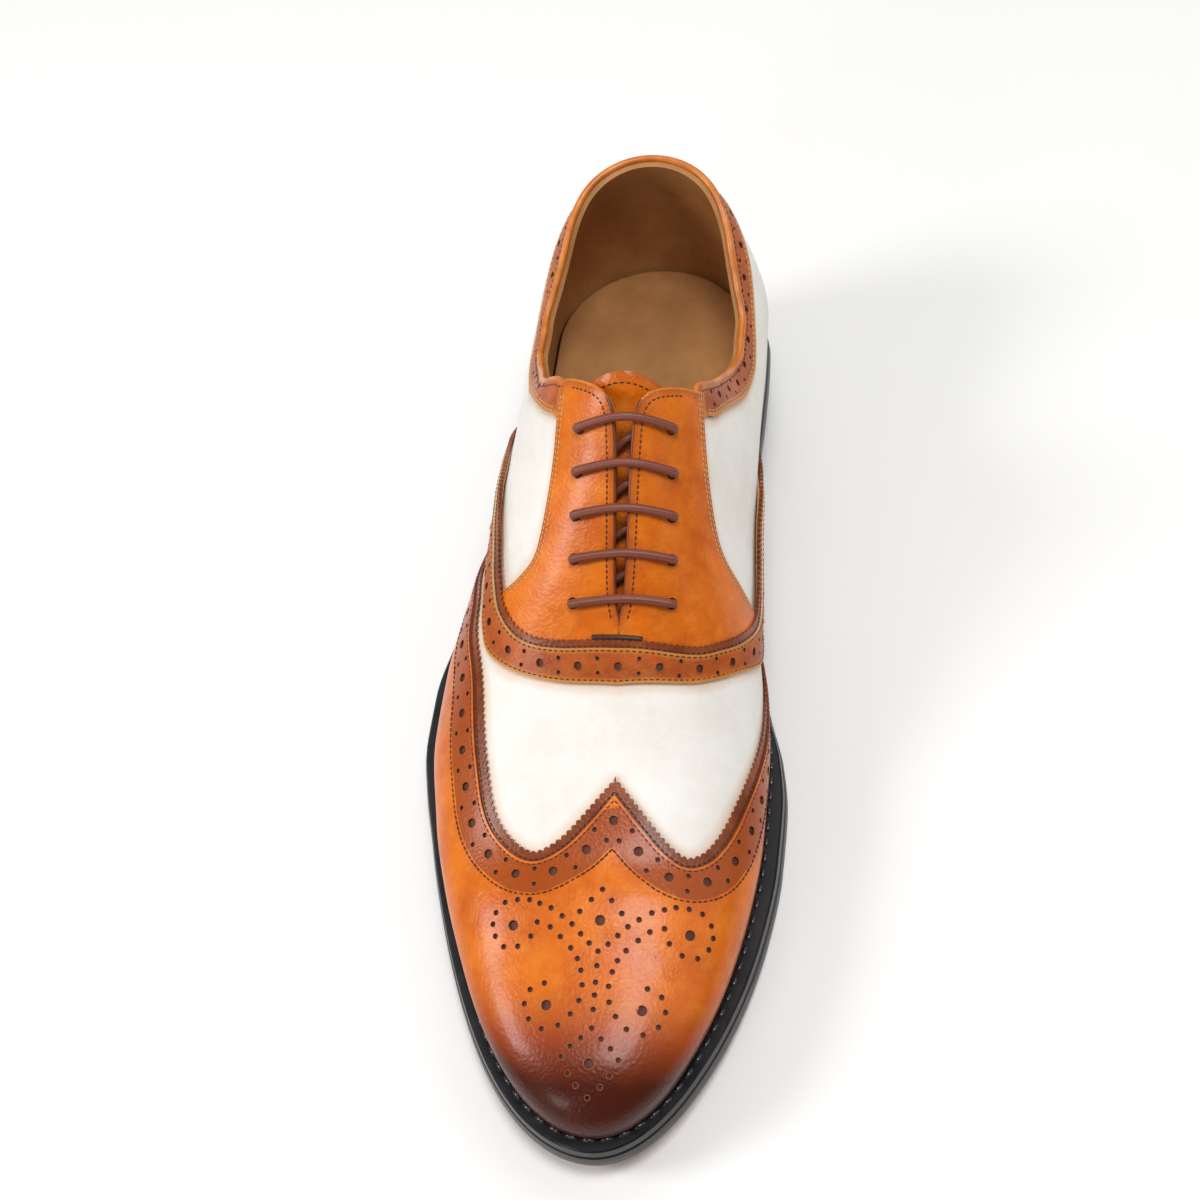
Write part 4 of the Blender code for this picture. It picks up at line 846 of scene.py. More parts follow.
def threads(name, rows, length, radius, material, sides=6):
    # stitches as one mesh: each a capsule along its row that dips into the leather at both ends
    middle, direction, normal = (np.concatenate(parts) for parts in zip(*rows))
    direction = direction / np.linalg.norm(direction, axis=1)[:, None]
    across = np.cross(normal, direction)
    across /= np.linalg.norm(across, axis=1)[:, None]
    upward = np.cross(direction, across)
    lengthwise = np.array([-0.5, -0.42, -0.2, 0.2, 0.42, 0.5]) * length
    sunk = np.array([-0.9, -0.3, 0.1, 0.1, -0.3, -0.9]) * radius
    thick = np.array([0.4, 0.8, 1.0, 1.0, 0.8, 0.4]) * radius
    turn = np.linspace(0, 2 * math.pi, sides, endpoint=False)
    out = (thick[:, None] * np.cos(turn))[None, :, :, None] * across[:, None, None]
    rise = (sunk[:, None] + thick[:, None] * np.sin(turn))[None, :, :, None]
    points = (middle[:, None, None] + lengthwise[None, :, None, None] * direction[:, None, None]
              + out + rise * upward[:, None, None])
    size = len(lengthwise) * sides
    wall = gridFaces(len(lengthwise), sides, closeColumns=True)
    ends = np.stack([np.arange(sides)[::-1], np.arange(sides) + size - sides])
    shift = (np.arange(len(middle)) * size)[:, None, None]
    return newPiece(name, points.reshape(-1, 3), [(wall[None] + shift).reshape(-1, 4),
                                                  (ends[None] + shift).reshape(-1, sides)],
                    [material])


def tube(name, line, radius, material, sides, replaces=()):
    # a round cord swept along a line; radius may vary. Fields: mm along it and turns around it
    line = np.asarray(line, float)
    count = len(line)
    radius = np.broadcast_to(radius, count)
    ahead = np.gradient(line, axis=0)
    ahead /= np.linalg.norm(ahead, axis=1)[:, None]
    a = np.zeros((count, 3))
    start = np.cross(ahead[0], [0.31, 0.2, 0.93])
    for k in range(count):
        # parallel transport: take out the part along the line
        start = start - ahead[k] * (start @ ahead[k])
        start /= np.linalg.norm(start)
        a[k] = start
    b = np.cross(ahead, a)
    turn = np.linspace(0, 2 * math.pi, sides, endpoint=False)
    points = line[:, None] + radius[:, None, None] * (
        np.cos(turn)[None, :, None] * a[:, None] + np.sin(turn)[None, :, None] * b[:, None])
    faces = [gridFaces(count, sides, closeColumns=True),
             np.stack([np.arange(sides)[::-1], np.arange(sides) + (count - 1) * sides])]
    fields = {"run": np.repeat(arcLength(line), sides),
              "turn": np.tile(turn / (2 * math.pi), count)}
    return newPiece(name, points.reshape(-1, 3), faces, [material], replaces, fields=fields)


def ridgeSpots(s, side, share):
    # chart spots of length shares and shares of the half girth
    s, side, share = np.broadcast_arrays(*(np.asarray(v, float) for v in (s, side, share)))
    return np.stack([chartAngle(s), side * (1 - share) * chartScale["around"]],
                    -1).reshape(-1, 2)


def edgeLine(side, start, end, chart="ridge"):
    # the upper's top edge between two length shares: the topline, then the slit's edge
    angle = np.linspace(*np.arccos([1 - 2 * start, 1 - 2 * end]), 90)
    share = np.interp(angle, stationAngle, topShare[side])
    if chart == "back":
        return np.stack([side * angle * chartScale["along"], share * chartScale["around"]], 1)
    return np.stack([angle * chartScale["along"], side * (1 - share) * chartScale["around"]], 1)


# Threads on the toe cap
threads("wingStitches",
        stitchRows(wingGimp, wing["strip"] + 0.9, wing["stitch"], wing["top"] - 0.1)
        + stitchRows(wingGimp, wing["strip"] + wing["band"], wing["stitch"], wing["top"] - 0.1)
        + stitchRows(wingGimp, wing["strip"] - 0.7, wing["stitch"], 0.85),
        1.45, 0.24, darkThread)


def punchRims(name, spots, radius, lift, count=14, sides=5):
    # a thin raised and polished rim round each punched hole: a circle swept round a circle
    keep = np.sort(np.unique(np.round(spots, 1), axis=0, return_index=True)[1])
    radius, lift = (np.broadcast_to(v, len(spots))[keep] for v in (radius, lift))
    spots = spots[keep]
    place, normal = onSkin("ridge", spots, lift)
    around = spokes(normal, count)
    tilt = np.linspace(0, 2 * math.pi, sides, endpoint=False)
    reach = radius[:, None, None] + 0.12 * np.cos(tilt)[None, None]
    points = (place[:, None, None] + reach[..., None] * around[:, :, None]
              + 0.12 * np.sin(tilt)[None, None, :, None] * normal[:, None, None])
    ring = gridFaces(count, sides, True, True)[:, ::-1]
    shift = (np.arange(len(spots)) * count * sides)[:, None, None]
    return newPiece(name, points.reshape(-1, 3), [(ring[None] + shift).reshape(-1, 4)],
                    [punchRim])


punchRims("toeCapHoleRims", np.concatenate([wingBig, wingSmall, flowerBig, flowerSmall]),
          np.repeat([wing["bigHole"], wing["smallHole"], flower["bigHole"], flower["smallHole"]],
                    [len(v) for v in (wingBig, wingSmall, flowerBig, flowerSmall)]),
          wing["top"] - 0.08)

# Vamp band
vamp = {"strip": 2.0, "tooth": 1.8, "toothDepth": 0.7, "bigHole": 1.25, "smallHole": 0.68,
        "holePitch": 11.5, "pairGap": 4.2, "stitch": 1.7}
bandGimp, bandFoot = laid(bandUpper), laid(bandLower)
bandClean = inset(bandGimp, vamp["strip"])
gimpStrip("vampGimpStrip", bandGimp, vamp, 1.95, 0.9)


def blended(first, second, share):
    # lines between two others, matched by arc length
    return {k: (1 - share) * resampled(spaced("ridge", first[k], 0.5), 400)
            + share * resampled(spaced("ridge", second[k], 0.5), 400) for k in (-1, 1)}


vampBig, vampSmall = punching("ridge", blended(bandClean, bandFoot, 0.5), vamp)
bandGimpPlaces = onSkin("ridge", np.concatenate([bandClean[-1], bandClean[1]]))[0]


def vampHeight(places, spots):
    # thick where it lies on the facings, thinner at its lower edge
    return 2.5 - 1.0 * smoothStep((nearest(places, bandGimpPlaces) - 2) / 5)


leather("vampPanel", "ridge", trimmed(clipped(bandRing(bandClean, bandFoot))),
        [brown, paleEdge, punchFloorShade], vampHeight,
        holes=[(vampBig, vamp["bigHole"]), (vampSmall, vamp["smallHole"])],
        pitch=1.8, replaces=["vamp_band"])
threads("vampStitches", stitchRows(bandGimp, vamp["strip"] + 0.8, vamp["stitch"], 2.45)
        + stitchRows(bandFoot, -0.9, vamp["stitch"], 1.45)
        + stitchRows(bandGimp, vamp["strip"] - 0.5, vamp["stitch"], 1.95),
        1.35, 0.22, darkThread)
vampHoles = np.concatenate([vampBig, vampSmall])
punchRims("vampHoleRims", vampHoles,
          np.repeat([vamp["bigHole"], vamp["smallHole"]], [len(vampBig), len(vampSmall)]),
          vampHeight(onSkin("ridge", vampHoles)[0], vampHoles) - 0.08)
print("stage: vamp band")

# Facings
facing = {"top": 1.3, "eyelet": 1.7, "spread": {-1: 13.6, 1: 14.9}}
eyeletShare = {-1: np.linspace(0.389, 0.532, 5), 1: np.linspace(0.384, 0.527, 5)}
slitEnd = 0.549


def halfGirth(s, side):
    # length of the section from the welt to the ridge
    points = sides[side]
    arc = np.linalg.norm(np.diff(points, axis=1), axis=2).sum(1)
    return np.interp(s, stationShare, arc)


eyelet = {k: ridgeSpots(s, k, 1 - facing["spread"][k] / halfGirth(s, k))
          for k, s in eyeletShare.items()}
facingEdgeRows, facingRims = [], []
for k, name, node in ((-1, "lateralFacing", "facing_lateral"),
                      (1, "medialFacing", "facing_medial")):
    outer = spaced("ridge", charted(k, facingOuter[k]), 0.8)
    below = bandGimp[k][bandGimp[k][:, 0] > outer[-1, 0] + 0.5]
    below = beside("ridge", below, k * 1.2)
    below[:, 1] = np.where(k * below[:, 1] < 0.1, k * 0.1, below[:, 1])
    slit = edgeLine(k, slitEnd, facingOuter[k][0][0])
    slit[:, 1] = np.where(k * slit[:, 1] < 0.1, k * 0.1, slit[:, 1])
    outline = np.concatenate([outer, below, slit])
    leather(name, "ridge", trimmed(outline), [tan, rawEdge, punchFloorShade],
            facing["top"], holes=[(eyelet[k], facing["eyelet"])], pitch=1.8, replaces=[node],
            depth=1.0)
    for away in (0.7, 1.8):
        row = beside("ridge", outer[4:], -k * away)
        facingEdgeRows.append(stitchSpots("ridge", row, 1.6, facing["top"] - 0.02))
    row = beside("ridge", edgeLine(k, 0.345, 0.545), k * 1.9)
    facingRims.append(stitchSpots("ridge", row, 1.6, facing["top"] - 0.02))
punchRims("eyeletRims", np.concatenate([eyelet[-1], eyelet[1]]),
          np.full(10, facing["eyelet"] + 0.05), facing["top"] - 0.05, 20)
threads("facingStitches", facingEdgeRows, 1.25, 0.2, creamThread)
threads("throatStitches", facingRims, 1.3, 0.24, darkThread)
# Thin calf turned over a cord at the edges, polished: tight, so no grain shows
beadTan = speckled("calf_rolled_bead_tan", "#BE6418", "#D8812F", 6.0, 0.32)
bindBrown = speckled("calf_binding_brown", "#6C2C10", "#8A401C", 5.0, 0.35)
for k, name in ((-1, "lateralBinding"), (1, "medialBinding")):
    tube(name, onSkin("ridge", edgeLine(k, 0.366, slitEnd), 0.4)[0], 0.65, bindBrown,
         8)
w = np.linspace(-1, 1, 25)
barLine = ridgeSpots(0.5605, np.where(w < 0, -1, 1), 1 - np.abs(w) * 0.085)
tube("throatBarTack", onSkin("ridge", barLine, 1.6)[0], 0.8, darkThread, 8)
print("stage: facings")

# Collar band, backstay and the bead along the topline
collar = {"bigHole": 1.1, "smallHole": 0.6, "holePitch": 10.5, "pairGap": 3.8}
collarFoot = {k: spaced("back", charted(k, collarLower[k], "back"), 0.8) for k in (-1, 1)}
half = {}
for k in (-1, 1):
    seam = np.array(facingOuter[k][:2])[::-1] + [0.004, 0.0]
    rise = spaced("back", charted(k, seam, "back"), 0.8)
    top = edgeLine(k, 0.0, seam[-1][0], "back")[::-1]
    half[k] = np.concatenate([collarFoot[k], rise, top[:-1]])
collarOutline = np.concatenate([half[1], half[-1][::-1]])
collarMiddle = {k: 0.5 * (resampled(collarFoot[k], 300)
                          + resampled(edgeLine(k, 0.0, 0.325, "back"), 300)) for k in (-1, 1)}
collarBig, collarSmall = punching("back", collarMiddle, collar, 1.0, 5.0)
leather("collarPanel", "back", trimmed(collarOutline), [brown, rawEdge, punchFloorShade],
        1.15,
        holes=[(collarBig, collar["bigHole"]), (collarSmall, collar["smallHole"])],
        pitch=1.9, replaces=["collar_band"])
collarRows = [stitchSpots("back", beside("back", collarFoot[k], -k * away), 1.8, 1.12)
              for k in (-1, 1) for away in (0.8, 1.9)]
threads("collarStitches", collarRows, 1.4, 0.2, creamThread)
threads("toplineStitches", [stitchSpots("back", beside("back", edgeLine(k, 0.0, 0.34, "back"),
                                                       k * 1.9), 1.9, 1.12) for k in (-1, 1)],
        1.5, 0.22, darkThread)


def backHalf(width):
    # chart distance from the back seam, around the heel's elliptic end, for a width in mm
    share = width / (last["upper"][0] * upperGirth[0, 1])
    return (math.acos(1 - 2 * last["heelRound"] * (1 - math.sqrt(1 - share ** 2)))
            * chartScale["along"])


stayTop = (collarLower[1][0][1] - 0.015) * chartScale["around"]
stayLine = np.linspace(2, stayTop, 40)
stayHalf = np.interp(stayLine, [2, stayTop], [backHalf(8.5), backHalf(6.5)])
stay = np.concatenate([np.stack([stayHalf, stayLine], 1), np.stack([-stayHalf, stayLine], 1)[::-1]])
leather("backStrip", "back", stay, [tan, rawEdge, punchFloorShade], 1.3, pitch=1.6,
        replaces=["backstay"])
threads("backStitches", [stitchSpots("back", np.stack([k * (stayHalf - 1.6), stayLine], 1), 1.8,
                                     1.28) for k in (-1, 1)], 1.4, 0.2, creamThread)
rim = np.concatenate([edgeLine(-1, 0.0, 0.372, "back")[::-1], edgeLine(1, 0.0, 0.372, "back")[1:]])
rimRadius = 1.15 - 0.4 * smoothStep((np.abs(np.linspace(-1, 1, len(rim))) - 0.84) / 0.12)
tube("toplineBead", onSkin("back", rim, 0.55)[0], rimRadius, beadTan, 12)
print("stage: collar")

# White body of the upper, its lining inside
upperAngles = stationAngle[::2]
upperRows = 56


def upperWall(lift):
    # both sides from the welt to the top edge, as (side, station, row) in one list
    made = []
    for k in (-1, 1):
        share = np.interp(upperAngles, stationAngle, topShare[k])[:, None] * np.linspace(
            0, 1, upperRows)
        spot = np.stack([np.repeat(upperAngles * chartScale["along"], upperRows),
                         (k * (1 - share) * chartScale["around"]).ravel()], 1)
        made.append(onSkin("ridge", spot, lift)[0])
    return np.concatenate(made)


outside, inside = upperWall(0.0), upperWall(-last["wall"])
perSide = len(upperAngles) * upperRows
lateralGrid = gridFaces(len(upperAngles), upperRows)
skinFaces = np.concatenate([lateralGrid, (lateralGrid + perSide)[:, ::-1]])
tops = np.arange(len(upperAngles)) * upperRows + upperRows - 1
wallsMeet = 0.5502  # length share where the two sides join at the foot of the slit
openTop = upperAngles < math.acos(1 - 2 * wallsMeet)


def wallStrip(row, flip):
    # faces between the outer and inner surfaces along a row of stations
    quads = np.stack([row[:-1], row[1:], row[1:] + 2 * perSide, row[:-1] + 2 * perSide], 1)
    return quads[:, ::-1] if flip else quads


rimFaces = np.concatenate([wallStrip(tops[openTop], False),
                           wallStrip(tops[openTop] + perSide, True)])
feet = np.arange(len(upperAngles)) * upperRows
footFaces = np.concatenate([wallStrip(feet, True), wallStrip(feet + perSide, False)])
halo = nearest(outside, onSkin("ridge", np.concatenate(
    [spaced("ridge", line[k], 1.0) for line in (wingGimp, bandGimp, bandFoot) for k in (-1, 1)]
    + [spaced("ridge", charted(k, facingOuter[k]), 1.0) for k in (-1, 1)]))[0])
halo = np.minimum(halo, nearest(outside, onSkin("back", np.concatenate(
    [collarFoot[k] for k in (-1, 1)]))[0]))
points, joined, back = welded(
    np.concatenate([outside, inside]),
    [skinFaces, skinFaces[:, ::-1] + 2 * perSide, rimFaces, footFaces])
haloAll = np.zeros(len(points))
haloAll[back] = np.tile(halo, 2)
newPiece("whiteUpper", points, joined, [white, lining], ["upper"], groups=[0, 1, 1, 1],
         fields={"halo": haloAll, "edge": np.full(len(points), 20.0)}, sharp=50)
print("stage: upper")

# Tongue: shaped like the solid, in columns across and rows from its foot to its top
tongueLook = {"columns": 41, "rows": 70, "thickness": 2.0, "foot": 0.600, "top": 0.343,
              "corners": 0.022, "footHalf": 0.20, "wider": 0.20}
w = np.linspace(-1, 1, tongueLook["columns"])
k = np.linspace(0, 1, tongueLook["rows"])[:, None]
tongueTop = tongueLook["top"] + tongueLook["corners"] * w ** 4
tongueS = tongueLook["foot"] + (tongueTop - tongueLook["foot"]) * k
tongueShare = 1 - np.abs(w) * (tongueLook["footHalf"] + tongueLook["wider"] * k)
tongueDepth = -2.7 - 4.3 * smoothStep(k / 0.25) + 2.5 * smoothStep((k - 0.86) / 0.14)
tongueSpots = ridgeSpots(tongueS, np.where(w < 0, -1, 1), tongueShare)


def roundOver(grid, low, high):
    # Hermite arch in place of the columns between low and high
    span = high - low
    start, end = grid[:, low], grid[:, high]
    leave, arrive = (start - grid[:, low - 1]) * span, (grid[:, high + 1] - end) * span
    for column in range(low + 1, high):
        t = (column - low) / span
        grid[:, column] = (start * (1 + 2 * t) * (1 - t) ** 2 + leave * t * (1 - t) ** 2
                           + end * t ** 2 * (3 - 2 * t) - arrive * t ** 2 * (1 - t))


def slabPiece(name, face, under, materials, replaces, fields):
    # a closed piece between two grids of the same shape
    rows, columns = face.shape[:2]
    size = rows * columns
    top = gridFaces(rows, columns)
    ring = np.concatenate([np.arange(columns), np.arange(1, rows) * columns + columns - 1,
                           (rows - 1) * columns + np.arange(columns - 2, -1, -1),
                           np.arange(rows - 2, 0, -1) * columns])
    following = np.roll(ring, -1)
    walls = np.stack([ring, ring + size, following + size, following], 1)
    points = np.concatenate([face.reshape(-1, 3), under.reshape(-1, 3)])
    fields = {key: np.tile(np.ravel(value), 2) for key, value in fields.items()}
    return newPiece(name, points, [top, top[:, ::-1] + size, walls], materials, replaces,
                    groups=[0, 1, 1], fields=fields, sharp=40)


tongueGrid = []
for extra in (0.0, -tongueLook["thickness"]):
    depth = np.broadcast_to(tongueDepth, tongueS.shape).ravel() + extra
    grid = onSkin("ridge", tongueSpots, depth)[0].reshape(*tongueS.shape, 3)
    roundOver(grid, 12, 28)
    tongueGrid.append(grid)
border = np.concatenate([tongueGrid[0][:, 0], tongueGrid[0][-1], tongueGrid[0][:, -1]])
tongueEdge = np.minimum(nearest(tongueGrid[0].reshape(-1, 3), border), 30)
slabPiece("tongueLeather", tongueGrid[0][:, ::-1], tongueGrid[1][:, ::-1], [tan, lining],
          ["tongue"],
          {"edge": tongueEdge.reshape(tongueS.shape)[:, ::-1]})


def gridStitches(line, normal, pitch):
    # stitches along a line of points with normals
    arc = arcLength(line)
    even = np.linspace(0, arc[-1], int(arc[-1] / pitch) + 1)
    line, normal = pickedAt(even, arc, line), pickedAt(even, arc, normal)
    return (line[1:] + line[:-1]) / 2, line[1:] - line[:-1], normal[1:] + normal[:-1]


tongueNormal = np.cross(np.gradient(tongueGrid[0], axis=1), np.gradient(tongueGrid[0], axis=0))
tongueNormal /= np.linalg.norm(tongueNormal, axis=2)[:, :, None]
tongueNormal *= np.sign(tongueNormal[:, :, 2:3].mean())
# the row runs 3 mm in from the edge: up one side, across the top, down the other
column = np.r_[np.full(66, 2), np.arange(2, 39), np.full(66, 38)]
row = np.r_[np.arange(66), np.full(37, 66), np.arange(66)[::-1]]
threads("tongueStitches", [gridStitches(tongueGrid[0][row, column], tongueNormal[row, column],
                                        1.9)], 1.5, 0.24, darkThread)

# Lace, the same route as the solid's
laceLook = {"radius": 1.3, "above": 2.25, "arch": 1.8, "below": -4.4, "aside": 4.6, "bend": 1.5}


def laceRun(start, end, depth, count):
    # over or under the instep between two (side, length share, girth share) spots
    t = np.linspace(0, 1, count)
    place = (1 - t) * start[0] * (1 - start[2]) + t * end[0] * (1 - end[2])
    spots = ridgeSpots((1 - t) * start[1] + t * end[1], np.where(place < 0, -1, 1),
                       1 - np.abs(place))
    return list(onSkin("ridge", spots, depth)[0])


holes = {}
for k in (-1, 1):
    holes[k] = [(k, float(s), float(1 - facing["spread"][k] / halfGirth(s, k)))
                for s in eyeletShare[k]]
route = [onSkin("ridge", ridgeSpots(holes[-1][0][1], -1, holes[-1][0][2]),
                laceLook["below"] + 0.5)[0][0]]
for n in range(5):
    route += laceRun(holes[-1][n], holes[1][n],
                     laceLook["above"] + laceLook["arch"] * np.linspace(-1, 1, 9) ** 2, 9)
    if n < 4:
        route += laceRun(holes[1][n], holes[-1][n + 1], laceLook["below"], 7)
foot = holes[1][-1]
aside = laceLook["aside"] / (facing["spread"][1] / (1 - foot[2]))
route += laceRun(foot, (1, foot[1] + 0.004, foot[2] - aside), laceLook["below"], 2)
route += laceRun((1, foot[1] - 0.012, foot[2] - aside),
                 (1, holes[1][0][1], holes[1][0][2] - aside), laceLook["below"], 8)


def bent(points, radius, steps=7):
    # sharp corners become short Bezier arcs
    made = [points[0]]
    for before, here, after in zip(points[:-2], points[1:-1], points[2:]):
        into = (before - here) / np.linalg.norm(before - here)
        out = (after - here) / np.linalg.norm(after - here)
        bend = math.pi - math.acos(np.clip(into @ out, -1, 1))
        if bend < 0.9:
            made.append(here)
            continue
        reach = min(radius * math.tan(bend / 2), 0.45 * np.linalg.norm(before - here),
                    0.45 * np.linalg.norm(after - here))
        for t in np.linspace(0, 1, steps):
            made.append((1 - t) ** 2 * (here + into * reach) + 2 * t * (1 - t) * here
                        + t ** 2 * (here + out * reach))
    return np.array(made + [points[-1]])


def evenly(line, step):
    # the same line with a point every step mm, and its length
    arc = arcLength(line)
    return pickedAt(np.linspace(0, arc[-1], int(arc[-1] / step)), arc, line), arc[-1]


laceLine, laceLength = evenly(bent(route, laceLook["bend"]), 0.6)
for _ in range(2):
    laceLine[1:-1] = (laceLine[:-2] + 2 * laceLine[1:-1] + laceLine[2:]) / 4
# Lace: round waxed cotton, braided; the crossing strands show as small slanting ridges, with
# painted shade darkening the grooves between them
laceCord, tree, shader = newMaterial("waxed_cotton_lace_brown_groove_shade", "#6B3426", Roughness=0.45)
run = put(tree, "ShaderNodeAttribute", attribute_name="run")
turn = put(tree, "ShaderNodeAttribute", attribute_name="turn")
waves = []
for way in (-1, 1):
    twist = put(tree, "ShaderNodeMath", {0: turn.outputs["Fac"], 1: way * 4.0},
                operation="MULTIPLY")
    phase = put(tree, "ShaderNodeMath", {0: run.outputs["Fac"], 1: 1.1, 2: twist.outputs[0]},
                operation="MULTIPLY_ADD")
    phase = put(tree, "ShaderNodeMath", {0: phase.outputs[0], 1: 2 * math.pi},
                operation="MULTIPLY")
    waves.append(put(tree, "ShaderNodeMath", {0: phase.outputs[0]}, operation="SINE").outputs[0])
braid = put(tree, "ShaderNodeMath", {0: waves[0], 1: waves[1]}, operation="MULTIPLY")
strand = put(tree, "ShaderNodeMapRange", {0: braid.outputs[0], 1: -1.0, 2: 1.0})
# the brown follows the braid's relief: the darker brown in the low grooves is painted shade
tint = put(tree, "ShaderNodeValToRGB", {0: strand.outputs[0]},
           stops=[(0.1, "#5E2A1C"), (0.7, "#8A4A36")])
tree.links.new(tint.outputs[0], shader.inputs["Base Color"])
weave = put(tree, "ShaderNodeBump", {"Height": strand.outputs[0], "Distance": 0.0001,
                                     "Strength": 0.4})
tree.links.new(weave.outputs[0], shader.inputs["Normal"])
tube("roundLace", laceLine, laceLook["radius"], laceCord, 14, replaces=["lace"])
print("stage: lace, mm", round(laceLength))

# Sole and heel
soleShare = (1 - np.cos(np.linspace(0, math.pi, 500))) / 2


def soleSides(draw, front=None, count=150, foot=False):
    # outline drawn in by draw mm, as matching lateral and medial points from heel to toe; of the
    # sole's edge, or of the upper's foot
    if foot:
        s = stationShare
        lateral, medial = -sides[-1][:, 0, 0] - centreX, sides[1][:, 0, 0] + centreX
        y = sides[-1][:, 0, 1]
    else:
        lateral, medial = halfWidths(soleShare)
        y = heelY - last["length"] * soleShare
    loop = np.concatenate([np.stack([-lateral, y], 1), np.stack([medial, y], 1)[-2:0:-1]])
    tangent = np.roll(loop, -1, axis=0) - np.roll(loop, 1, axis=0)
    tangent /= np.linalg.norm(tangent, axis=1)[:, None]
    loop = loop + draw * np.stack([-tangent[:, 1], tangent[:, 0]], 1)
    halves = loop[:len(y)], np.concatenate([loop[:1], loop[len(y):][::-1],
                                            loop[len(y) - 1:len(y)]])
    back = loop[0, 1]
    if front is None:
        rungs = np.cos(np.linspace(0, math.pi, count))
        rungs = back + (loop[len(y) - 1, 1] - back) * (1 - rungs) / 2
    else:
        rungs = back + (front - back) * (1 - np.cos(np.linspace(0, math.pi / 2, count)))
    return [np.stack([np.interp(-rungs, -h[:, 1], h[:, 0]) - centreX, rungs], 1) for h in halves]


def soleSlab(name, levels, materials, replaces, front=None, hollow=0.0, ring=False, foot=(),
             count=150):
    # stacked outlines (draw-in, height function), closed over at the bottom and the top, or joined
    # into a ring; hollow draws in the middle of the heel's front
    across = 9
    share = np.linspace(0, 1, across)
    loops, grids = [], []
    for number, (draw, height) in enumerate(levels):
        lateral, medial = soleSides(draw, front, count, number in foot)
        grid = lateral[:, None] + (medial - lateral)[:, None] * share[None, :, None]
        if front is not None:
            grid[-1, :, 1] += hollow * (1 - (2 * share - 1) ** 2)
        grid = np.concatenate([grid, height(grid[..., 1:2])], 2)
        grids.append(grid)
        end = grid[-1, 1:-1] if front is not None else grid[-1, :0]
        loops.append(np.concatenate([grid[:, 0], end, grid[::-1, -1]]))
    around = len(loops[0])
    wall = gridFaces(len(levels), around, closeRows=ring, closeColumns=True)
    points = [np.concatenate(loops)]
    faces, index = [wall], [0]
    if not ring:
        for grid, flip in ((grids[0], True), (grids[-1], False)):
            cap = gridFaces(count, across, start=sum(len(p) for p in points))
            faces.append(cap[:, ::-1] if flip else cap)
            points.append(grid.reshape(-1, 3))
            index.append(1 if flip else 2)
    points = np.concatenate(points)
    centre = points.mean(0)
    first = points[wall[0]]
    out = np.cross(first[1] - first[0], first[2] - first[0]) @ (first.mean(0) - centre)
    if out < 0:
        faces[0] = faces[0][:, ::-1]
    if not ring:
        for n, upward in ((1, -1), (2, 1)):
            quad = points[faces[n][len(faces[n]) // 2]]
            if np.cross(quad[1] - quad[0], quad[2] - quad[0])[2] * upward < 0:
                faces[n] = faces[n][:, ::-1]
    points, faces, _ = welded(points, faces)
    return newPiece(name, points, faces, materials, replaces,
                    groups=[min(n, len(materials) - 1) for n in index], sharp=32)


def over(height):
    # a level parallel to the underside
    return lambda y: underside(y) + height


def flat(height):
    # a level parallel to the floor
    return lambda y: np.full_like(y, height)


def edgeFinish(name, dark, light, rough):
    # leather edge, inked, waxed and burnished with a hot iron: nearly black, faint layers along it
    material, tree, shader = newMaterial(name, dark, **{"Coat Weight": 0.1, "Coat Roughness": 0.25,
                                                        "Specular IOR Level": 0.3})
    place = millimetres(tree)
    layers = put(tree, "ShaderNodeMapping", {0: place, 3: (0.03, 0.03, 1.6)})
    grainy = put(tree, "ShaderNodeTexNoise", {"Vector": layers.outputs[0], "Scale": 0.9,
                                              "Detail": 5.0, "Roughness": 0.6})
    tint = put(tree, "ShaderNodeValToRGB", {0: grainy.outputs[0]},
               stops=[(0.4, dark), (0.75, light)])
    tree.links.new(tint.outputs[0], shader.inputs["Base Color"])
    ridges = put(tree, "ShaderNodeBump", {"Height": grainy.outputs[0], "Distance": 0.0001,
                                          "Strength": 0.4})
    tree.links.new(ridges.outputs[0], shader.inputs["Normal"])
    rub = put(tree, "ShaderNodeMapRange", {0: grainy.outputs[0], 3: rough, 4: rough + 0.12})
    tree.links.new(rub.outputs[0], shader.inputs["Roughness"])
    return material


soleEdge = edgeFinish("sole_edge_inked_waxed", "#140E0B", "#2C1F17", 0.34)
liftEdge = edgeFinish("stacked_heel_leather_inked", "#1B1410", "#3F2E23", 0.34)
weltTop = edgeFinish("welt_leather_black_waxed", "#0F0F11", "#26242A", 0.28)
soleLeather = calf("sole_leather_bark_tanned", dict(
    liningLook, base="#A9774A", deep="#8F6139", light="#BE8C5C", cloud=30.0, rough=(0.4, 0.5)))
insoleLeather = calf("insole_leather_natural", dict(
    liningLook, base="#B4814F", deep="#9C6B3D", light="#C59663", cloud=28.0, rough=(0.5, 0.6)))
# Moulded rubber: matt and dusty, with a fine tooth
rubber = speckled("top_lift_rubber", "#121212", "#1C1B1A", 0.6, 0.75)
# Welt thread: plaited linen soaked in black wax, glossy on its humps
blackThread = speckled("welt_thread_waxed_black", "#222125", "#333238", 0.4, 0.22,
                       **{"Coat Weight": 0.3})

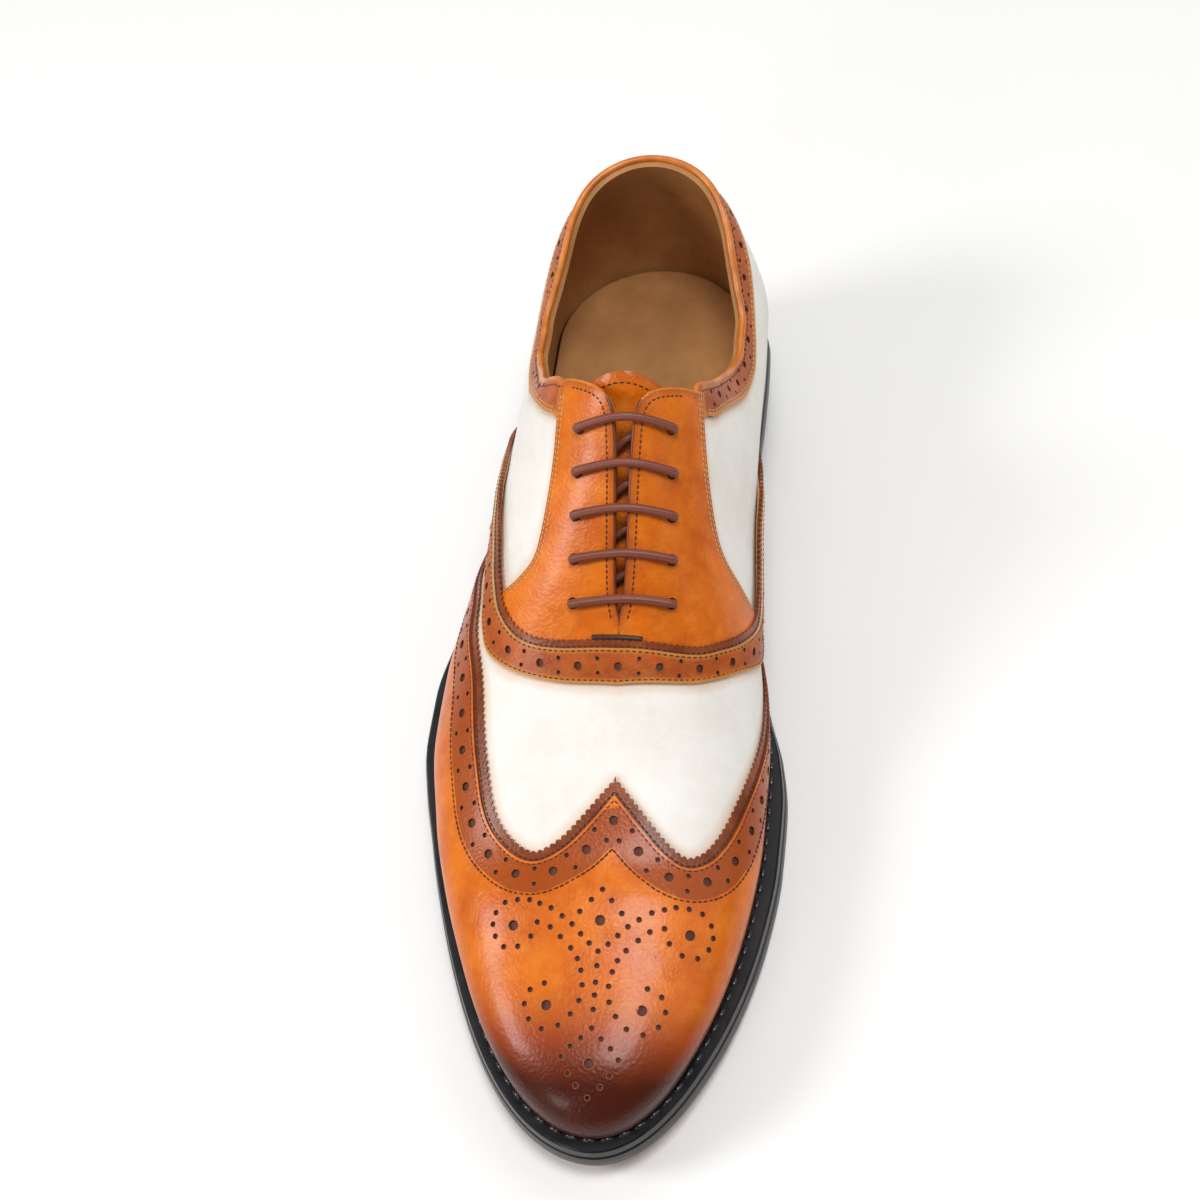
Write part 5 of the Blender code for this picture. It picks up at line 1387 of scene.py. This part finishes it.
edgeLean = last["flare"] * last["outsole"] / (last["outsole"] + last["welt"]) - last["step"]
soleSlab("leatherOutsole", [(0.8, over(0)), (0.25, over(0.22)), (0, over(0.8)),
                            (edgeLean * 0.5, over(3.2)), (edgeLean - 0.05, over(5.2)),
                            (edgeLean + 0.35, over(5.7))],
         [soleEdge, soleLeather, soleEdge], ["outsole"])
weltIn = last["weltWidth"]
weltFoot, weltHead = last["outsole"], last["outsole"] + last["welt"]
soleSlab("leatherWelt", [(edgeLean + last["step"] + 0.3, over(weltFoot)),
                         (edgeLean + last["step"] - 0.1, over(6.4)),
                         (last["flare"] - 0.2, over(9.0)), (last["flare"] + 0.4, over(weltHead)),
                         (weltIn, over(weltHead)), (weltIn, over(weltFoot))],
         [weltTop], ["welt"], ring=True)
soleSlab("leatherInsole", [(weltIn + 0.8, over(weltFoot)), (weltIn + 0.8, over(9.8)),
                           (last["wall"] + 0.8, over(9.8)), (last["wall"] + 0.8, over(11.9)),
                           (last["wall"] + 1.2, over(12.3))],
         [insoleLeather], ["insole"], foot=(2, 3, 4))

heel = {"front": heelY - 71.0, "hollow": 4.0, "topLift": 6.0, "lifts": 3, "joint": 0.3,
        "lean": 2.2, "inset": 0.8, "rows": 50}


def heelInset(height):
    # draw-in of the heel's wall = its lean, most at the floor, and its inset from the sole
    return heel["lean"] * (1 - height / last["heelRise"]) + heel["inset"]


def heelSlab(name, levels, material, node):
    # a lift of the heel, hollowed at its front
    return soleSlab(name, levels, [material], [node], heel["front"], heel["hollow"],
                    count=heel["rows"])


liftStep = (last["heelRise"] * 0.93 - heel["topLift"]) / heel["lifts"]
heelSlab("rubberTopLift", [(heelInset(0) + 0.8, flat(0)), (heelInset(0) + 0.2, flat(0.25)),
                           (heelInset(0), flat(0.8)), (heelInset(6), flat(5.7)),
                           (heelInset(6) + 0.3, flat(heel["topLift"]))],
         rubber, "top_lift")
for n in range(heel["lifts"]):
    low = heel["topLift"] + n * liftStep + heel["joint"]
    high = heel["topLift"] + (n + 1) * liftStep
    head = [(heelInset(high), flat(high - 0.3)), (heelInset(high) + 0.25, flat(high))]
    if n == heel["lifts"] - 1:  # the last one follows the sole
        draw = heelInset(last["heelRise"])
        head = [(draw, over(-0.6)), (draw + 0.25, over(-0.3))]
    heelSlab(f"stackedLift{n + 1}",
             [(heelInset(low) + 0.25, flat(low)), (heelInset(low), flat(low + 0.3))] + head,
             liftEdge, f"heel_lift_{n + 1}")
print("stage: sole and heel")

# Welt stitching: one row of heavy thread, clear of the upper's swell
weltStitch = {"clear": 1.7, "fromEdge": 1.2, "pitch": 5.0, "length": 3.9, "thick": 0.75}
weltEdge = np.concatenate(soleSides(last["flare"], count=300))
halves = soleSides(0.0, count=400, foot=True)
footLoop = np.concatenate([halves[0], halves[1][::-1][1:-1]])
weltOut = np.roll(footLoop, -1, axis=0) - np.roll(footLoop, 1, axis=0)
weltOut = np.stack([-weltOut[:, 1], weltOut[:, 0]], 1) / np.linalg.norm(weltOut, axis=1)[:, None]
weltOut *= np.sign((weltOut * (footLoop - footLoop.mean(0))).sum())
# how far the upper swells out over its foot, seen from above
swell = skin[::3, ::3, :2].reshape(1, -1, 2) - footLoop[:, None]
astray = np.abs(swell[..., 0] * weltOut[:, None, 1] - swell[..., 1] * weltOut[:, None, 0])
swell = np.where(astray < 2.5, (swell * weltOut[:, None]).sum(2), -9.0).max(1)
weltRoom = nearest(footLoop, weltEdge)
out = np.minimum(swell + weltStitch["clear"], weltRoom - weltStitch["fromEdge"])
loop = footLoop + out[:, None] * weltOut
for _ in range(12):
    loop = (np.roll(loop, 1, axis=0) + 2 * loop + np.roll(loop, -1, axis=0)) / 4
loop = np.concatenate([loop, loop[:1]])
weltRow = np.concatenate([loop, underside(loop[:, 1:2]) + weltHead], 1)
weltUp = np.tile([0.0, 0.0, 1.0], (len(weltRow), 1))
threads("weltStitches", [gridStitches(weltRow, weltUp, weltStitch["pitch"])],
        weltStitch["length"], weltStitch["thick"], blackThread, 8)
print("stage: welt stitches")

# Floor, lights and camera
floorMesh = bpy.data.meshes.new("floor")
floorMesh.from_pydata([(-3, -3, 0), (3, -3, 0), (3, 3, 0), (-3, 3, 0)], [], [(0, 1, 2, 3)])
# Floor: white photo paper, matt, so that the shoe keeps a soft shadow
paper = newMaterial("photo_paper_white", "#F6F5F3", Roughness=0.9)[0]
floorMesh.materials.append(paper)
floor = bpy.data.objects.new("floor", floorMesh)
bpy.context.scene.collection.objects.link(floor)

world = bpy.data.worlds.new("studio")
bpy.context.scene.world = world
world.use_nodes = True
world.node_tree.nodes["Background"].inputs[0].default_value = shade("#F4F6FA")
world.node_tree.nodes["Background"].inputs[1].default_value = 0.22

# Each softbox: place, what it points at, width and height in metres, watts
lamps = {
    "leftSoftbox": ((-0.95, -0.22, 0.80), (0.0, -0.05, 0.04), (0.34, 0.34), 6.2),
    "overheadSoftbox": ((0.16, -0.10, 1.40), (0.0, 0.0, 0.04), (0.45, 0.45), 10.0),
    "frontSoftbox": ((-0.60, -1.15, 0.55), (0.0, -0.05, 0.04), (0.25, 0.25), 1.6),
    "backSoftbox": ((0.10, 0.90, 1.20), (0.0, 0.0, 0.04), (1.2, 0.7), 4.2),
    "rightFill": ((1.00, 0.10, 0.90), (0.0, 0.0, 0.04), (0.9, 0.9), 2.2)}
for name, (place, target, size, power) in lamps.items():
    light = bpy.data.lights.new(name, "AREA")
    light.shape = "RECTANGLE"
    light.size, light.size_y = size
    light.energy = power
    lamp = bpy.data.objects.new(name, light)
    lamp.location = place
    lamp.rotation_euler = (Vector(target) - Vector(place)).to_track_quat("-Z", "Y").to_euler()
    bpy.context.scene.collection.objects.link(lamp)

# Camera: the photo's own, turned a little so that the shoe is in the middle
shot = {"azimuth": 3.172, "elevation": 59.09, "roll": -1.095, "turn": 6.0, "lens": 52.5,
        "place": (0.06971, -0.26117, 0.49698)}
azimuth, elevation, roll, turn = (math.radians(shot[k]) for k in (
    "azimuth", "elevation", "roll", "turn"))
back = Vector((math.sin(azimuth) * math.cos(elevation), -math.cos(azimuth) * math.cos(elevation),
               math.sin(elevation)))
level = Vector((math.cos(azimuth), math.sin(azimuth), 0))
raised = back.cross(level)
right = math.cos(roll) * level + math.sin(roll) * raised
above = math.cos(roll) * raised - math.sin(roll) * level
back, right = (back * math.cos(turn) + right * math.sin(turn),
               right * math.cos(turn) - back * math.sin(turn))
camera = bpy.data.objects.new("camera", bpy.data.cameras.new("camera"))
camera.data.lens = shot["lens"]
pose = Matrix((right, above, back)).transposed().to_4x4()
pose.translation = shot["place"]
camera.matrix_world = pose
bpy.context.scene.collection.objects.link(camera)
bpy.context.scene.camera = camera
bpy.context.scene.view_settings.view_transform = "Standard"

print("stage: done")
